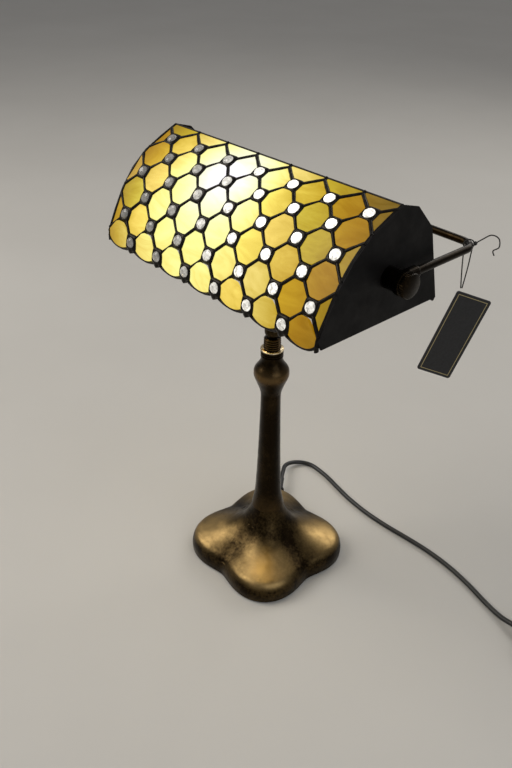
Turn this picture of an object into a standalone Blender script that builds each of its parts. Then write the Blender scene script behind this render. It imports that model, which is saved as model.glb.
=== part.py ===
"""Banker desk lamp: cast base, turned column, swivelling yoke and a leaded glass shade.

Units are millimetres in the tables below and metres in Blender. The origin is the
centre of the underside of the base, +Z is up, the shade lies along X and its leaded
front faces -Y. The column's axis is the Z axis.
"""
import math

import bmesh
import bpy
from mathutils import Euler, Matrix, Vector

MM = 0.001
GAP = 0.3                      # clearance between pieces that touch

# ---- driving dimensions -------------------------------------------------------------
FELT_T = 1.5                   # felt under the base
LOBE_R = 78.5                  # base radius at its four lobes
VALLEY_R = 60.5                # base radius between the lobes
BASE_H = 64.0                  # height of the base casting
BASE_WALL = 3.2
COLUMN_TOP = 246.0
COLUMN_TOP_R = 10.0
COLUMN_FOOT_R = 15.8
BULGE_R = 16.2                 # widest part of the swelling below the neck
WAIST_R = 9.5
WEIGHT_R = 46.0
WEIGHT_T = 12.0
TUBE_R = 5.0                   # threaded tube from the weight to the neck
TUBE_BORE_R = 3.4
NECK_R = 8.2
NECK_H = 11.0
BALL_R = 7.4
SWIVEL_R = 3.2
ROD_R = 3.3                    # yoke tube
YOKE_BACK_Y = 83.0             # centre line of the bar behind the shade
YOKE_BEND_R = 13.0
STEM_BEND_R = 55.0
PIVOT_Y = -12.0                # tilt axis of the shade
PIVOT_Z = 369.7
SHADE_HALF = 130.0             # half length over the end caps
CAP_T = 1.2
GLASS_T = 3.0
NIPPLE_R = 5.0                 # pivot screws, hollow on the left for the wires
NIPPLE_BORE_R = 3.4
EYE_R = 8.5
EYE_T = 5.0
SPACER_T = 4.0
KNOB_R = 9.5
KNOB_T = 10.0
HOLDER_R = 13.5
HOLDER_L = 42.0
BULB_R = 22.5
BULB_THROAT_R = 7.5            # where the globe meets the bulb's cap
BULB_WALL = 1.0
CORD_D = 5.0
COIL_TURNS_LOW = 4             # turns side by side on the floor
COIL_INNER_R = 23.0            # centre line of the innermost turn
SWITCH_L = 58.0
SWITCH_W = 24.0
SWITCH_H = 17.0
TAG_W = 30.0
TAG_L = 78.0
TAG_T = 0.8

# Outline of the shade across its length, (y, z): the outer face of the glass.
FRONT = [(-80.5, 330.0), (-80.5, 340.5), (-72.0, 358.5), (-62.5, 376.0), (-50.5, 391.5),
         (-36.0, 404.0), (-19.0, 413.0), (-2.8, 420.5)]
BACK = [(-2.8, 420.5), (14.0, 415.5), (33.0, 395.5), (50.0, 333.0)]

COLORS = {
    "bronze": ((0.17, 0.115, 0.06), 0.38, 1.0),
    "black_metal": ((0.012, 0.011, 0.01), 0.5, 0.8),
    "bright_brass": ((0.75, 0.62, 0.4), 0.25, 1.0),
    "steel": ((0.5, 0.5, 0.5), 0.35, 1.0),
    "iron": ((0.08, 0.08, 0.08), 0.7, 0.9),
    "felt": ((0.02, 0.035, 0.02), 0.95, 0.0),
    "opal_glass": ((0.9, 0.75, 0.35), 0.25, 0.0),
    "lead": ((0.02, 0.018, 0.016), 0.4, 0.9),
    "ceramic": ((0.85, 0.83, 0.78), 0.4, 0.0),
    "bulb_glass": ((0.95, 0.93, 0.88), 0.1, 0.0),
    "black_plastic": ((0.012, 0.012, 0.012), 0.45, 0.0),
    "card": ((0.01, 0.01, 0.012), 0.5, 0.0),
}

for old in list(bpy.data.objects):
    bpy.data.objects.remove(old, do_unlink=True)

PARTS = bpy.data.collections.new("banker_desk_lamp")
bpy.context.scene.collection.children.link(PARTS)


def material(name):
    """Return the named material, made on first use."""
    found = bpy.data.materials.get(name)
    if found:
        return found
    color, roughness, metallic = COLORS[name]
    made = bpy.data.materials.new(name)
    made.use_nodes = True
    shader = made.node_tree.nodes["Principled BSDF"]
    shader.inputs["Base Color"].default_value = (*color, 1.0)
    shader.inputs["Roughness"].default_value = roughness
    shader.inputs["Metallic"].default_value = metallic
    return made


def bake(obj, name, mat, smooth=35.0):
    """Turn an object with its modifiers into one welded closed mesh in PARTS."""
    graph = bpy.context.evaluated_depsgraph_get()
    graph.update()
    mesh = bpy.data.meshes.new_from_object(obj.evaluated_get(graph))
    matrix = obj.matrix_world.copy()
    bpy.data.objects.remove(obj, do_unlink=True)
    work = bmesh.new()
    work.from_mesh(mesh)
    bmesh.ops.remove_doubles(work, verts=work.verts, dist=1e-6)
    bmesh.ops.recalc_face_normals(work, faces=work.faces)
    work.to_mesh(mesh)
    work.free()
    mesh.shade_smooth()
    mesh.set_sharp_from_angle(angle=math.radians(smooth))
    mesh.materials.clear()
    mesh.materials.append(material(mat))
    made = bpy.data.objects.new(name, mesh)
    made.matrix_world = matrix
    PARTS.objects.link(made)
    return made


def link(obj):
    """Put a working object in the scene and bring its transform up to date."""
    bpy.context.scene.collection.objects.link(obj)
    bpy.context.view_layer.update()
    return obj


def turned(name, profile, mat, bore=None, steps=32, at=(0, 0, 0), axis="Z"):
    """Spin a profile of (radius, height) points, listed top to bottom down its outer side.

    With a bore the profile is closed down an inner wall: a number is a straight bore,
    a list is the inner wall's own points, listed bottom to top.
    """
    points = list(profile)
    if bore is None:
        points = [(0.0, profile[0][1])] + points + [(0.0, profile[-1][1])]
    elif isinstance(bore, (int, float)):
        points += [(bore, profile[-1][1]), (bore, profile[0][1])]
    else:
        points += list(bore)
    work = bmesh.new()
    verts = [work.verts.new((r * MM, 0.0, z * MM)) for r, z in points]
    for first, second in zip(verts, verts[1:]):
        work.edges.new((first, second))
    if bore is not None:
        work.edges.new((verts[-1], verts[0]))
    mesh = bpy.data.meshes.new(name)
    work.to_mesh(mesh)
    work.free()
    obj = bpy.data.objects.new(name + "_profile", mesh)
    turns = {"Z": Euler((0, 0, 0)), "X": Euler((0, math.pi / 2, 0)), "-X": Euler((0, -math.pi / 2, 0)),
             "Y": Euler((-math.pi / 2, 0, 0))}
    obj.matrix_world = Matrix.Translation(Vector(at) * MM) @ turns[axis].to_matrix().to_4x4()
    screw = obj.modifiers.new("spin", "SCREW")
    screw.axis = "Z"
    screw.steps = steps
    screw.render_steps = steps
    screw.use_merge_vertices = True
    screw.merge_threshold = 0.00001
    link(obj)
    return bake(obj, name, mat)


def extruded(name, outline, low, high, mat, axis="X", holes=(), cutout=None):
    """Extrude a flat outline between low and high along an axis, with round holes.

    The outline is in (y, z) for axis X, (x, z) for axis Y and (x, y) for axis Z. A hole is
    (u, v, radius), and a cutout is an inner outline.
    """
    curve = bpy.data.curves.new(name, "CURVE")
    curve.dimensions = "2D"
    curve.fill_mode = "BOTH"
    curve.extrude = (high - low) / 2 * MM
    loops = [list(outline)]
    for u, v, radius in holes:
        loops.append([(u + radius * math.cos(a), v + radius * math.sin(a))
                      for a in (2 * math.pi * k / 20 for k in range(20))])
    if cutout:
        loops.append(list(cutout))
    for loop in loops:
        spline = curve.splines.new("POLY")
        spline.points.add(len(loop) - 1)
        for point, (u, v) in zip(spline.points, loop):
            point.co = (u * MM, v * MM, 0.0, 1.0)
        spline.use_cyclic_u = True
    obj = bpy.data.objects.new(name + "_outline", curve)
    middle = (low + high) / 2 * MM
    turns = {"X": Matrix(((0, 0, 1, 0), (1, 0, 0, 0), (0, 1, 0, 0), (0, 0, 0, 1))),
             "Y": Matrix(((1, 0, 0, 0), (0, 0, -1, 0), (0, 1, 0, 0), (0, 0, 0, 1))),
             "Z": Matrix.Identity(4)}
    places = {"X": (middle, 0, 0), "Y": (0, middle, 0), "Z": (0, 0, middle)}
    obj.matrix_world = Matrix.Translation(places[axis]) @ turns[axis]
    link(obj)
    return bake(obj, name, mat)


def tube(name, route, radius, mat, resolution=3):
    """A round bar or cord along a list of points in millimetres."""
    curve = bpy.data.curves.new(name, "CURVE")
    curve.dimensions = "3D"
    curve.bevel_depth = radius * MM
    curve.bevel_resolution = resolution
    curve.use_fill_caps = True
    spline = curve.splines.new("POLY")
    spline.points.add(len(route) - 1)
    for point, place in zip(spline.points, route):
        point.co = (*(Vector(place) * MM), 1.0)
    obj = link(bpy.data.objects.new(name + "_route", curve))
    return bake(obj, name, mat)


def block(name, size, at, mat, bevel=0.0, turn=(0, 0, 0)):
    """A box of a given size about a centre, with rounded edges."""
    bpy.ops.mesh.primitive_cube_add(size=1.0)
    obj = bpy.context.object
    obj.data.transform(Matrix.Diagonal((*(Vector(size) * MM), 1.0)))
    obj.matrix_world = Matrix.Translation(Vector(at) * MM) @ Euler(turn).to_matrix().to_4x4()
    if bevel:
        rounding = obj.modifiers.new("rounding", "BEVEL")
        rounding.width = bevel * MM
        rounding.segments = 2
    bpy.context.view_layer.update()
    return bake(obj, name, mat)


def combine(target, tools, operation="DIFFERENCE"):
    """Cut or join a baked part with helper objects, which are removed afterwards."""
    for tool in tools:
        change = target.modifiers.new("cut", "BOOLEAN")
        change.operation = operation
        change.object = tool
        change.solver = "EXACT"
    bpy.context.view_layer.update()
    name = target.name
    mat = target.data.materials[0].name
    target.name = name + "_before"
    made = bake(target, name, mat)
    for tool in tools:
        bpy.data.objects.remove(tool, do_unlink=True)
    made.name = name
    return made


def smooth_route(points, spacing, per_span=24):
    """Sample a smooth curve through hand-chosen points at an even spacing."""
    knots = [Vector(p) for p in points]
    dense = []
    for i in range(len(knots) - 1):
        before = knots[max(i - 1, 0)]
        start, end = knots[i], knots[i + 1]
        after = knots[min(i + 2, len(knots) - 1)]
        for k in range(per_span):
            t = k / per_span
            dense.append(0.5 * (2 * start + (end - before) * t
                                + (2 * before - 5 * start + 4 * end - after) * t * t
                                + (3 * start - before - 3 * end + after) * t * t * t))
    dense.append(knots[-1])
    total = sum((b - a).length for a, b in zip(dense, dense[1:]))
    count = max(2, round(total / spacing))
    step = total / count
    sampled, travelled, target = [dense[0]], 0.0, step
    for a, b in zip(dense, dense[1:]):
        length = (b - a).length
        while travelled + length >= target and len(sampled) < count:
            sampled.append(a.lerp(b, (target - travelled) / length))
            target += step
        travelled += length
    sampled.append(dense[-1])
    return sampled


def arc(center, radius, start, end, count, plane):
    """Points on an arc; plane gives the two unit directions of its angle."""
    across, up = (Vector(v) for v in plane)
    return [Vector(center) + radius * (math.cos(a) * across + math.sin(a) * up)
            for a in (math.radians(start + (end - start) * k / count) for k in range(count + 1))]


# ---- base ----------------------------------------------------------------------------
LOBE_POWER = 0.8               # below 1 makes the lobes broad and the valleys narrow


def lobe_share(angle):
    """1 on the four diagonals, 0 half way between them."""
    return ((1.0 + math.cos(4.0 * (angle - math.pi / 4))) / 2.0) ** LOBE_POWER


def lobed_outline(lobe, valley, count=40):
    """Four-lobed outline with a given radius on its lobes and in its valleys."""
    angles = [2 * math.pi * k / count for k in range(count)]
    radii = [valley + (lobe - valley) * lobe_share(a) for a in angles]
    return [(r * math.cos(a), r * math.sin(a)) for r, a in zip(radii, angles)]


# Sections of the casting from its foot to its top: share of the height, then how far the
# surface has run from the outer edge to the top radius, on the lobes and in the valleys.
BASE_SECTIONS = [(0.0, 0.0, 0.0), (0.11, -0.004, -0.004), (0.20, 0.014, 0.022),
                 (0.265, 0.046, 0.072), (0.31, 0.098, 0.145), (0.35, 0.20, 0.26),
                 (0.405, 0.36, 0.415), (0.475, 0.535, 0.58), (0.56, 0.70, 0.73),
                 (0.67, 0.835, 0.85), (0.80, 0.925, 0.93), (0.92, 0.98, 0.98),
                 (1.0, 1.0, 1.0)]
BASE_FOOT_Z = FELT_T + GAP


def base_profile(angle):
    """Outer profile of the casting at one angle, (radius, height), foot to top."""
    share = lobe_share(angle)
    edge = VALLEY_R + (LOBE_R - VALLEY_R) * share
    profile = []
    for rise, lobe_run, valley_run in BASE_SECTIONS:
        run = valley_run + (lobe_run - valley_run) * share
        profile.append((edge + (COLUMN_FOOT_R + 0.1 - edge) * run,
                        BASE_FOOT_Z + (BASE_H - BASE_FOOT_Z) * rise))
    return profile


def inset_profile(profile, wall):
    """The same profile moved inwards by the wall thickness."""
    inner = []
    for i, (radius, height) in enumerate(profile):
        before = profile[max(i - 1, 0)]
        after = profile[min(i + 1, len(profile) - 1)]
        along = Vector((after[0] - before[0], after[1] - before[1])).normalized()
        inner.append((radius - along.y * wall, height + along.x * wall))
    inner[0] = (profile[0][0] - wall, profile[0][1])
    inner[-1] = (profile[-1][0] - wall, profile[-1][1])
    return inner


def base_casting(segments=40):
    """Loft the lobed foot into the round top, outside and inside, as one hollow shell."""
    work = bmesh.new()
    loops = []
    for k in range(segments):
        angle = 2 * math.pi * k / segments
        outer = base_profile(angle)
        inner = inset_profile(outer, BASE_WALL)[::-2]
        loops.append([work.verts.new((r * math.cos(angle) * MM, r * math.sin(angle) * MM, z * MM))
                      for r, z in outer + inner])
    for k in range(segments):
        here, there = loops[k], loops[(k + 1) % segments]
        for i in range(len(here)):
            j = (i + 1) % len(here)
            work.faces.new((here[i], there[i], there[j], here[j]))
    mesh = bpy.data.meshes.new("base_casting")
    work.to_mesh(mesh)
    work.free()
    return bake(link(bpy.data.objects.new("base_loft", mesh)), "base_casting", "bronze", 50.0)


CORD_ANGLE = math.radians(128.0)       # where the cord leaves the back lobe
CORD_Z = 11.0
BUSHING_R = 5.2
CORD_OUT = Vector((math.cos(CORD_ANGLE), math.sin(CORD_ANGLE), 0.0))
BASE_EDGE = VALLEY_R + (LOBE_R - VALLEY_R) * lobe_share(CORD_ANGLE)
BUSHING_TAIL = 24.0


def cord_bushing():
    """Strain relief: a flange inside the wall, a neck in its hole and a tapered tail outside."""
    hole = turned("bushing_hole", [(BUSHING_R + GAP, 30), (BUSHING_R + GAP, -30)], "steel", steps=20)
    aim = CORD_OUT.to_track_quat("Z", "Y").to_matrix().to_4x4()
    hole.matrix_world = Matrix.Translation((CORD_OUT * BASE_EDGE + Vector((0, 0, CORD_Z))) * MM) @ aim
    combine(bpy.data.objects["base_casting"], [hole])
    inside = BASE_WALL + 1.2
    profile = [(CORD_D / 2 + 1.0, BUSHING_TAIL), (CORD_D / 2 + 1.4, BUSHING_TAIL * 0.6),
               (BUSHING_R - 0.6, 5.0), (BUSHING_R + 1.2, 4.0), (BUSHING_R + 1.2, 1.4),
               (BUSHING_R, 1.4), (BUSHING_R, -inside), (BUSHING_R - 1.2, -inside - 6.0)]
    tail = turned("cord_bushing", profile, "black_plastic", bore=CORD_D / 2 + GAP, steps=20)
    tail.matrix_world = Matrix.Translation((CORD_OUT * (BASE_EDGE + 0.9) + Vector((0, 0, CORD_Z))) * MM) @ aim


def make_base():
    extruded("felt_pad", lobed_outline(LOBE_R - 2.0, VALLEY_R - 2.0), 0.0, FELT_T, "felt", axis="Z")
    base_casting()
    nut_z = FELT_T + 1.0
    nut_t = 5.0
    washer_z = nut_z + nut_t + GAP
    washer_t = 1.5
    weight_z = washer_z + washer_t + GAP
    hexagon = [(9.2 * math.cos(a), 9.2 * math.sin(a)) for a in (math.pi / 3 * k for k in range(6))]
    extruded("base_nut", hexagon, nut_z, nut_z + nut_t, "steel", axis="Z", holes=[(0, 0, TUBE_R + GAP)])
    turned("base_washer", [(14.0, washer_z + washer_t), (14.0, washer_z)], "steel",
           bore=TUBE_R + GAP, steps=20)
    turned("base_weight", [(WEIGHT_R - 1.5, weight_z + WEIGHT_T), (WEIGHT_R, weight_z + WEIGHT_T - 1.5),
                           (WEIGHT_R, weight_z + 1.5), (WEIGHT_R - 1.5, weight_z)],
           "iron", bore=TUBE_R + GAP, steps=36)
    turned("center_tube", [(TUBE_R, NECK_Z + NECK_H - 4.0), (TUBE_R, nut_z)], "steel",
           bore=TUBE_BORE_R, steps=20)
    cord_bushing()


# ---- column and neck -----------------------------------------------------------------
NECK_WASHER_T = 1.5
NECK_Z = COLUMN_TOP + GAP + NECK_WASHER_T + GAP
BALL_Z = NECK_Z + NECK_H + GAP + 6.0   # centre of the ball, which is cut flat 6 mm below


def column_profile():
    """Outer wall of the column, top to bottom, with a plug that drops into the base."""
    span = COLUMN_TOP - BASE_H
    foot = BASE_H + GAP
    plug_r = COLUMN_FOOT_R + 0.1 - BASE_WALL - GAP
    shape = [(1.0, COLUMN_TOP_R + 0.4), (0.984, COLUMN_TOP_R + 0.4), (0.979, COLUMN_TOP_R - 0.2),
             (0.965, COLUMN_TOP_R - 0.2), (0.945, COLUMN_TOP_R + 0.3), (0.925, COLUMN_TOP_R + 2.2),
             (0.894, BULGE_R - 0.6), (0.868, BULGE_R), (0.848, BULGE_R - 0.5), (0.823, BULGE_R - 2.3),
             (0.782, WAIST_R + 1.9), (0.76, WAIST_R + 0.7), (0.735, WAIST_R), (0.64, WAIST_R + 0.2),
             (0.485, WAIST_R + 0.9), (0.31, WAIST_R + 1.9), (0.175, WAIST_R + 2.9), (0.078, WAIST_R + 4.2)]
    wall = [(radius, BASE_H + share * span) for share, radius in shape]
    return wall + [(COLUMN_FOOT_R, foot), (plug_r, foot), (plug_r, foot - 5.0)]


def ringed(radius, low, high, rings, depth=0.9):
    """A wall of stacked rings, top to bottom."""
    pitch = (high - low) / rings
    wall = []
    for k in range(rings):
        top = high - k * pitch
        flare = 0.35 * k / rings
        wall += [(radius - depth + flare, top), (radius + flare, top - pitch * 0.3),
                 (radius + flare, top - pitch * 0.7)]
    wall.append((radius - depth + 0.35, low))
    return wall


def make_column():
    turned("column", column_profile(), "bronze", bore=TUBE_R + GAP, steps=28)
    turned("neck_washer", [(COLUMN_TOP_R + 0.8, NECK_Z - GAP), (COLUMN_TOP_R + 0.8, COLUMN_TOP + GAP)],
           "bright_brass", bore=TUBE_R + GAP, steps=24)
    top = NECK_Z + NECK_H
    turned("ribbed_neck", ringed(NECK_R - 0.5, NECK_Z, top, 5), "bronze",
           bore=[(TUBE_R + GAP, NECK_Z), (TUBE_R + GAP, top - 3.0),
                 (SWIVEL_R + GAP, top - 3.0), (SWIVEL_R + GAP, top)], steps=24)
    head = NECK_Z + NECK_H - 3.0 - GAP
    turned("swivel_pin", [(SWIVEL_R, BALL_Z + 2.5), (SWIVEL_R, head), (TUBE_R, head), (TUBE_R, head - 0.5)],
           "steel", bore=1.6, steps=20)


# ---- yoke ----------------------------------------------------------------------------
ARM_X = SHADE_HALF + GAP + SPACER_T + GAP + EYE_T / 2


def make_yoke():
    count = 9
    flat = 6.0
    low = math.asin(flat / BALL_R)
    ball = [(BALL_R * math.cos(a), BALL_Z + BALL_R * math.sin(a))
            for a in (math.pi / 2 * 0.98 - (math.pi / 2 * 0.98 + low) * k / count for k in range(count + 1))]
    turned("swivel_ball", ball, "bright_brass", steps=24)
    bore = turned("ball_bore", [(SWIVEL_R + GAP, BALL_Z + 2.5 + GAP), (SWIVEL_R + GAP, BALL_Z - 10)],
                  "steel", steps=20)
    socket = turned("ball_socket", [(ROD_R + GAP, 12), (ROD_R + GAP, 0)], "steel", steps=20,
                    at=(0, SWIVEL_R + 1.2, BALL_Z), axis="Y")
    combine(bpy.data.objects["swivel_ball"], [bore, socket])

    rise = BALL_Z + STEM_BEND_R
    bend = arc((0, YOKE_BACK_Y - STEM_BEND_R, rise), STEM_BEND_R, -90, 0, 12, ((0, 1, 0), (0, 0, 1)))
    tee_r = ROD_R + 3.0
    stem_top = PIVOT_Z - ROD_R - 2 * GAP
    stem = [Vector((0, SWIVEL_R + 1.5, BALL_Z))] + bend + [Vector((0, YOKE_BACK_Y, stem_top))]
    tube("stem", stem, ROD_R, "bronze")

    turned("yoke_tee", [(tee_r - 1.0, 11), (tee_r, 10), (tee_r, -10), (tee_r - 1.0, -11)], "bronze",
           bore=ROD_R + GAP, steps=24, at=(0, YOKE_BACK_Y, PIVOT_Z), axis="X")
    hole = turned("tee_hole", [(ROD_R + GAP, 0), (ROD_R + GAP, -20)], "steel", steps=20,
                  at=(0, YOKE_BACK_Y, PIVOT_Z))
    combine(bpy.data.objects["yoke_tee"], [hole])

    sleeve_y = PIVOT_Y + KNOB_R + 2 * GAP
    start = sleeve_y + 3.0
    corner = YOKE_BACK_Y - YOKE_BEND_R
    right = arc((ARM_X - YOKE_BEND_R, corner, PIVOT_Z), YOKE_BEND_R, 0, 90, 6, ((1, 0, 0), (0, 1, 0)))
    left = [Vector((-p.x, p.y, p.z)) for p in reversed(right)]
    yoke = [Vector((ARM_X, start, PIVOT_Z))] + right + left + [Vector((-ARM_X, start, PIVOT_Z))]
    tube("yoke_tube", yoke, ROD_R, "bronze")

    for side, sign in (("left", -1), ("right", 1)):
        name = side + "_yoke_eye"
        eye = turned(name, [(EYE_R, EYE_T / 2), (EYE_R, -EYE_T / 2)], "bronze", steps=22,
                     at=(sign * ARM_X, PIVOT_Y, PIVOT_Z), axis="X")
        neck_r = EYE_T / 2 - 0.1
        wall = [(ROD_R + 1.4, 12.0), (ROD_R + 1.6, 11.0), (ROD_R + 1.6, 2.0), (ROD_R + 0.6, 0.0),
                (neck_r, 0.0), (neck_r, -4.0)]
        sleeve = turned("sleeve", wall, "bronze", steps=20, at=(sign * ARM_X, sleeve_y, PIVOT_Z), axis="Y")
        eye = combine(eye, [sleeve], "UNION")
        bore = turned("eye_bore", [(NIPPLE_R + GAP, 6), (NIPPLE_R + GAP, -6)], "steel", steps=24,
                      at=(sign * ARM_X, PIVOT_Y, PIVOT_Z), axis="X")
        socket = turned("eye_socket", [(ROD_R + GAP, 30.0), (ROD_R + GAP, 0.0)], "steel", steps=20,
                        at=(sign * ARM_X, start - GAP, PIVOT_Z), axis="Y")
        combine(eye, [bore, socket])


# ---- shade ---------------------------------------------------------------------------
CAME_R = 1.5


def inner_line(points, thickness):
    """The polyline moved inwards (to the right of its direction), mitred at its corners."""
    lines = []
    for a, b in zip(points, points[1:]):
        a, b = Vector(a), Vector(b)
        along = (b - a).normalized()
        inward = Vector((along.y, -along.x)) * thickness
        lines.append((a + inward, b + inward))
    inner = [lines[0][0]]
    for (a, b), (c, d) in zip(lines, lines[1:]):
        along, other = b - a, d - c
        t = ((c.x - a.x) * other.y - (c.y - a.y) * other.x) / (along.x * other.y - along.y * other.x)
        inner.append(a + along * t)
    inner.append(lines[-1][1])
    return inner


def make_glass():
    """One flat strip of glass for each facet of the shade, with a came rod at its edges."""
    low, high = -SHADE_HALF + CAP_T + GAP, SHADE_HALF - CAP_T - GAP
    line = FRONT + BACK[1:]
    inner = inner_line(line, GLASS_T)
    ridge = len(FRONT) - 1
    for i in range(len(line) - 1):
        trims = [CAME_R + GAP if k in (0, ridge, len(line) - 1) else GAP / 2 for k in (i, i + 1)]
        outer_a, outer_b = Vector(line[i]), Vector(line[i + 1])
        along = (outer_b - outer_a).normalized()
        inner_a, inner_b = inner[i], inner[i + 1]
        section = [outer_a + along * trims[0], outer_b - along * trims[1],
                   inner_b - along * trims[1], inner_a + along * trims[0]]
        name = f"glass_row_{i + 1}" if i < ridge else f"back_glass_{i - ridge + 1}"
        extruded(name, [(p.x, p.y) for p in section], low, high, "opal_glass")
    for name, k in (("front_came", 0), ("ridge_came", ridge), ("back_came", len(line) - 1)):
        center = (Vector(line[k]) + inner[k]) / 2
        turned(name, [(CAME_R, high), (CAME_R, low)], "lead", steps=12,
               at=(0, center.x, center.y), axis="X")


def cap_outline():
    """Outline of an end cap: the shade's outline, drawn in a little at its front corner."""
    corner = (FRONT[0][0] + 3.5, FRONT[0][1] + 3.5)
    return [corner] + FRONT[1:] + BACK[1:]


def make_shade():
    for side, sign in (("left", -1), ("right", 1)):
        faces = sorted((sign * SHADE_HALF, sign * (SHADE_HALF - CAP_T)))
        extruded(side + "_end_cap", cap_outline(), faces[0], faces[1], "black_metal",
                 holes=[(PIVOT_Y, PIVOT_Z, NIPPLE_R + GAP)])
    make_glass()

    washer_in = ARM_X + EYE_T / 2 + GAP
    washer_t = 1.2
    knob_in = washer_in + washer_t + GAP
    nut_t = 4.0
    holder_back = SHADE_HALF - CAP_T - GAP - nut_t - GAP
    for side, sign in (("left", -1), ("right", 1)):
        way = "X" if sign > 0 else "-X"
        at = (0, PIVOT_Y, PIVOT_Z)
        turned(side + "_spacer", [(EYE_R, SHADE_HALF + GAP + SPACER_T), (EYE_R, SHADE_HALF + GAP)],
               "bronze", bore=NIPPLE_R + GAP, steps=22, at=at, axis=way)
        turned(side + "_washer", [(EYE_R, washer_in + washer_t), (EYE_R, washer_in)], "bright_brass",
               bore=NIPPLE_R + GAP, steps=22, at=at, axis=way)
        knob = ringed(KNOB_R, knob_in, knob_in + KNOB_T, 2, 0.7)
        turned(side + "_thumb_knob", [(KNOB_R - 3.0, knob_in + KNOB_T + 1.2)] + knob, "bronze",
               bore=[(NIPPLE_R + GAP, knob_in), (NIPPLE_R + GAP, knob_in + KNOB_T - 2.0),
                     (1.5, knob_in + KNOB_T - 2.0), (1.5, knob_in + KNOB_T + 1.2)], steps=22, at=at, axis=way)
        hexagon = [(PIVOT_Y + 8.6 * math.cos(a), PIVOT_Z + 8.6 * math.sin(a))
                   for a in (math.pi / 3 * k for k in range(6))]
        faces = sorted((sign * holder_back, sign * (holder_back + nut_t)))
        faces = [faces[0] + GAP * (sign > 0), faces[1] - GAP * (sign < 0)]
        extruded(side + "_lock_nut", hexagon, faces[0], faces[1], "steel",
                 holes=[(PIVOT_Y, PIVOT_Z, NIPPLE_R + GAP)])
        inner_end = holder_back - (6.0 if sign < 0 else 0.0)
        turned(side + "_pivot_screw", [(NIPPLE_R, knob_in + KNOB_T - 3.0), (NIPPLE_R, inner_end)], "steel",
               bore=NIPPLE_BORE_R if sign < 0 else None, steps=20, at=at, axis=way)
    make_lampholder(holder_back - GAP)


def make_lampholder(back):
    """Lampholder on the left pivot screw, with its bulb pointing along +X."""
    at = (0, PIVOT_Y, PIVOT_Z)
    wall = 1.6
    split = back - HOLDER_L * 0.36
    mouth = back - HOLDER_L
    room = HOLDER_R - wall
    turned("lampholder_cap", [(NIPPLE_R + 3.0, back), (HOLDER_R - 2.0, back - 3.0), (HOLDER_R, back - 8.0),
                              (HOLDER_R, split)], "black_plastic",
           bore=[(room, split), (room, back - 8.0), (room - 2.0, back - 4.6),
                 (NIPPLE_R + GAP, back - 2.0), (NIPPLE_R + GAP, back)], steps=22, at=at, axis="-X")
    turned("lampholder_insulator", [(room - GAP, split + 2.0), (room - GAP, split - 3.0)],
           "ceramic", bore=1.2, steps=22, at=at, axis="-X")
    lip = HOLDER_R + 1.2
    turned("lampholder_shell", [(HOLDER_R, split - GAP), (HOLDER_R, mouth + 4.0), (lip, mouth + 3.0),
                                (lip, mouth)], "black_plastic",
           bore=[(room, mouth), (room, split - GAP)], steps=22, at=at, axis="-X")
    cap_r = 6.8
    tip = split - 3.0 - GAP
    neck = mouth - 2.0
    turned("bulb_cap", [(2.4, tip), (cap_r - 1.0, tip - 4.0), (cap_r, tip - 5.0), (cap_r, neck + 2.0),
                        (cap_r + 1.0, neck + GAP)], "bright_brass", steps=24, at=at, axis="-X")
    throat = math.asin(BULB_THROAT_R / BULB_R)
    center = neck - BULB_R * math.cos(throat)
    pole = math.pi * 0.985
    globe = [(BULB_R * math.sin(a), center + BULB_R * math.cos(a))
             for a in (throat + (pole - throat) * k / 12 for k in range(13))]
    room = BULB_R - BULB_WALL
    inner = [(room * math.sin(a), center + room * math.cos(a))
             for a in (pole - (pole - throat) * k / 8 for k in range(8))]
    inner.append((BULB_THROAT_R - BULB_WALL - 0.2, neck))
    turned("bulb_globe", globe, "bulb_glass", bore=[(0.4, globe[-1][1]), (0.4, inner[0][1])] + inner,
           steps=24, at=at, axis="-X")


# ---- cord, switch and plug -------------------------------------------------------------
SWITCH_AT = Vector((276.0, 104.0, 0.0))
FLOOR = CORD_D / 2 + 0.2               # height of the centre line of cord on the floor
ENTRY_Z = SWITCH_H / 2 - 0.5           # height at which the cord enters the switch
TURN_RISE = CORD_D * math.sqrt(3) / 2
COIL_OUTER_R = COIL_INNER_R + (COIL_TURNS_LOW - 1) * CORD_D
SWITCH_TO_COIL = 6.5                   # clear space between the switch and the coil
COIL_AT = Vector((SWITCH_AT.x + SWITCH_L / 2 + SWITCH_TO_COIL + COIL_OUTER_R + CORD_D / 2, 128.0, 0.0))
TIE_T = 0.6
TIE_W = 8.0
COIL_LIFT = TIE_T + 2 * GAP            # the tie passes under the coil
COIL_HEIGHT = COIL_LIFT + CORD_D + TURN_RISE
CORD_BEND = 2                          # bevel_resolution of the cord

# Centre line of the free cord between the strain relief and the switch, chosen by hand.
ROUTE_TO_SWITCH = [(-81.5, 108.0, 7.2), (-80.5, 119.5, 4.0), (-72.0, 128.0, FLOOR),
                   (-58.0, 132.0, FLOOR), (-40.0, 131.5, FLOOR), (-18.0, 127.0, FLOOR),
                   (8.0, 122.0, FLOOR), (36.0, 119.5, FLOOR), (64.0, 120.0, FLOOR),
                   (92.0, 122.5, FLOOR), (120.0, 124.0, FLOOR), (148.0, 122.5, FLOOR),
                   (176.0, 117.5, FLOOR), (202.0, 110.5, FLOOR), (222.0, 106.0, 3.8), (236.0, 104.2, 6.8)]
PLUG_W = 26.0
PLUG_L = 34.0
PLUG_T = 13.0
PLUG_AT = Vector((290.0, 162.5, PLUG_T / 2))
PIN_R = 2.0
PIN_L = 19.0
PIN_SPACING = 18.6


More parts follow.
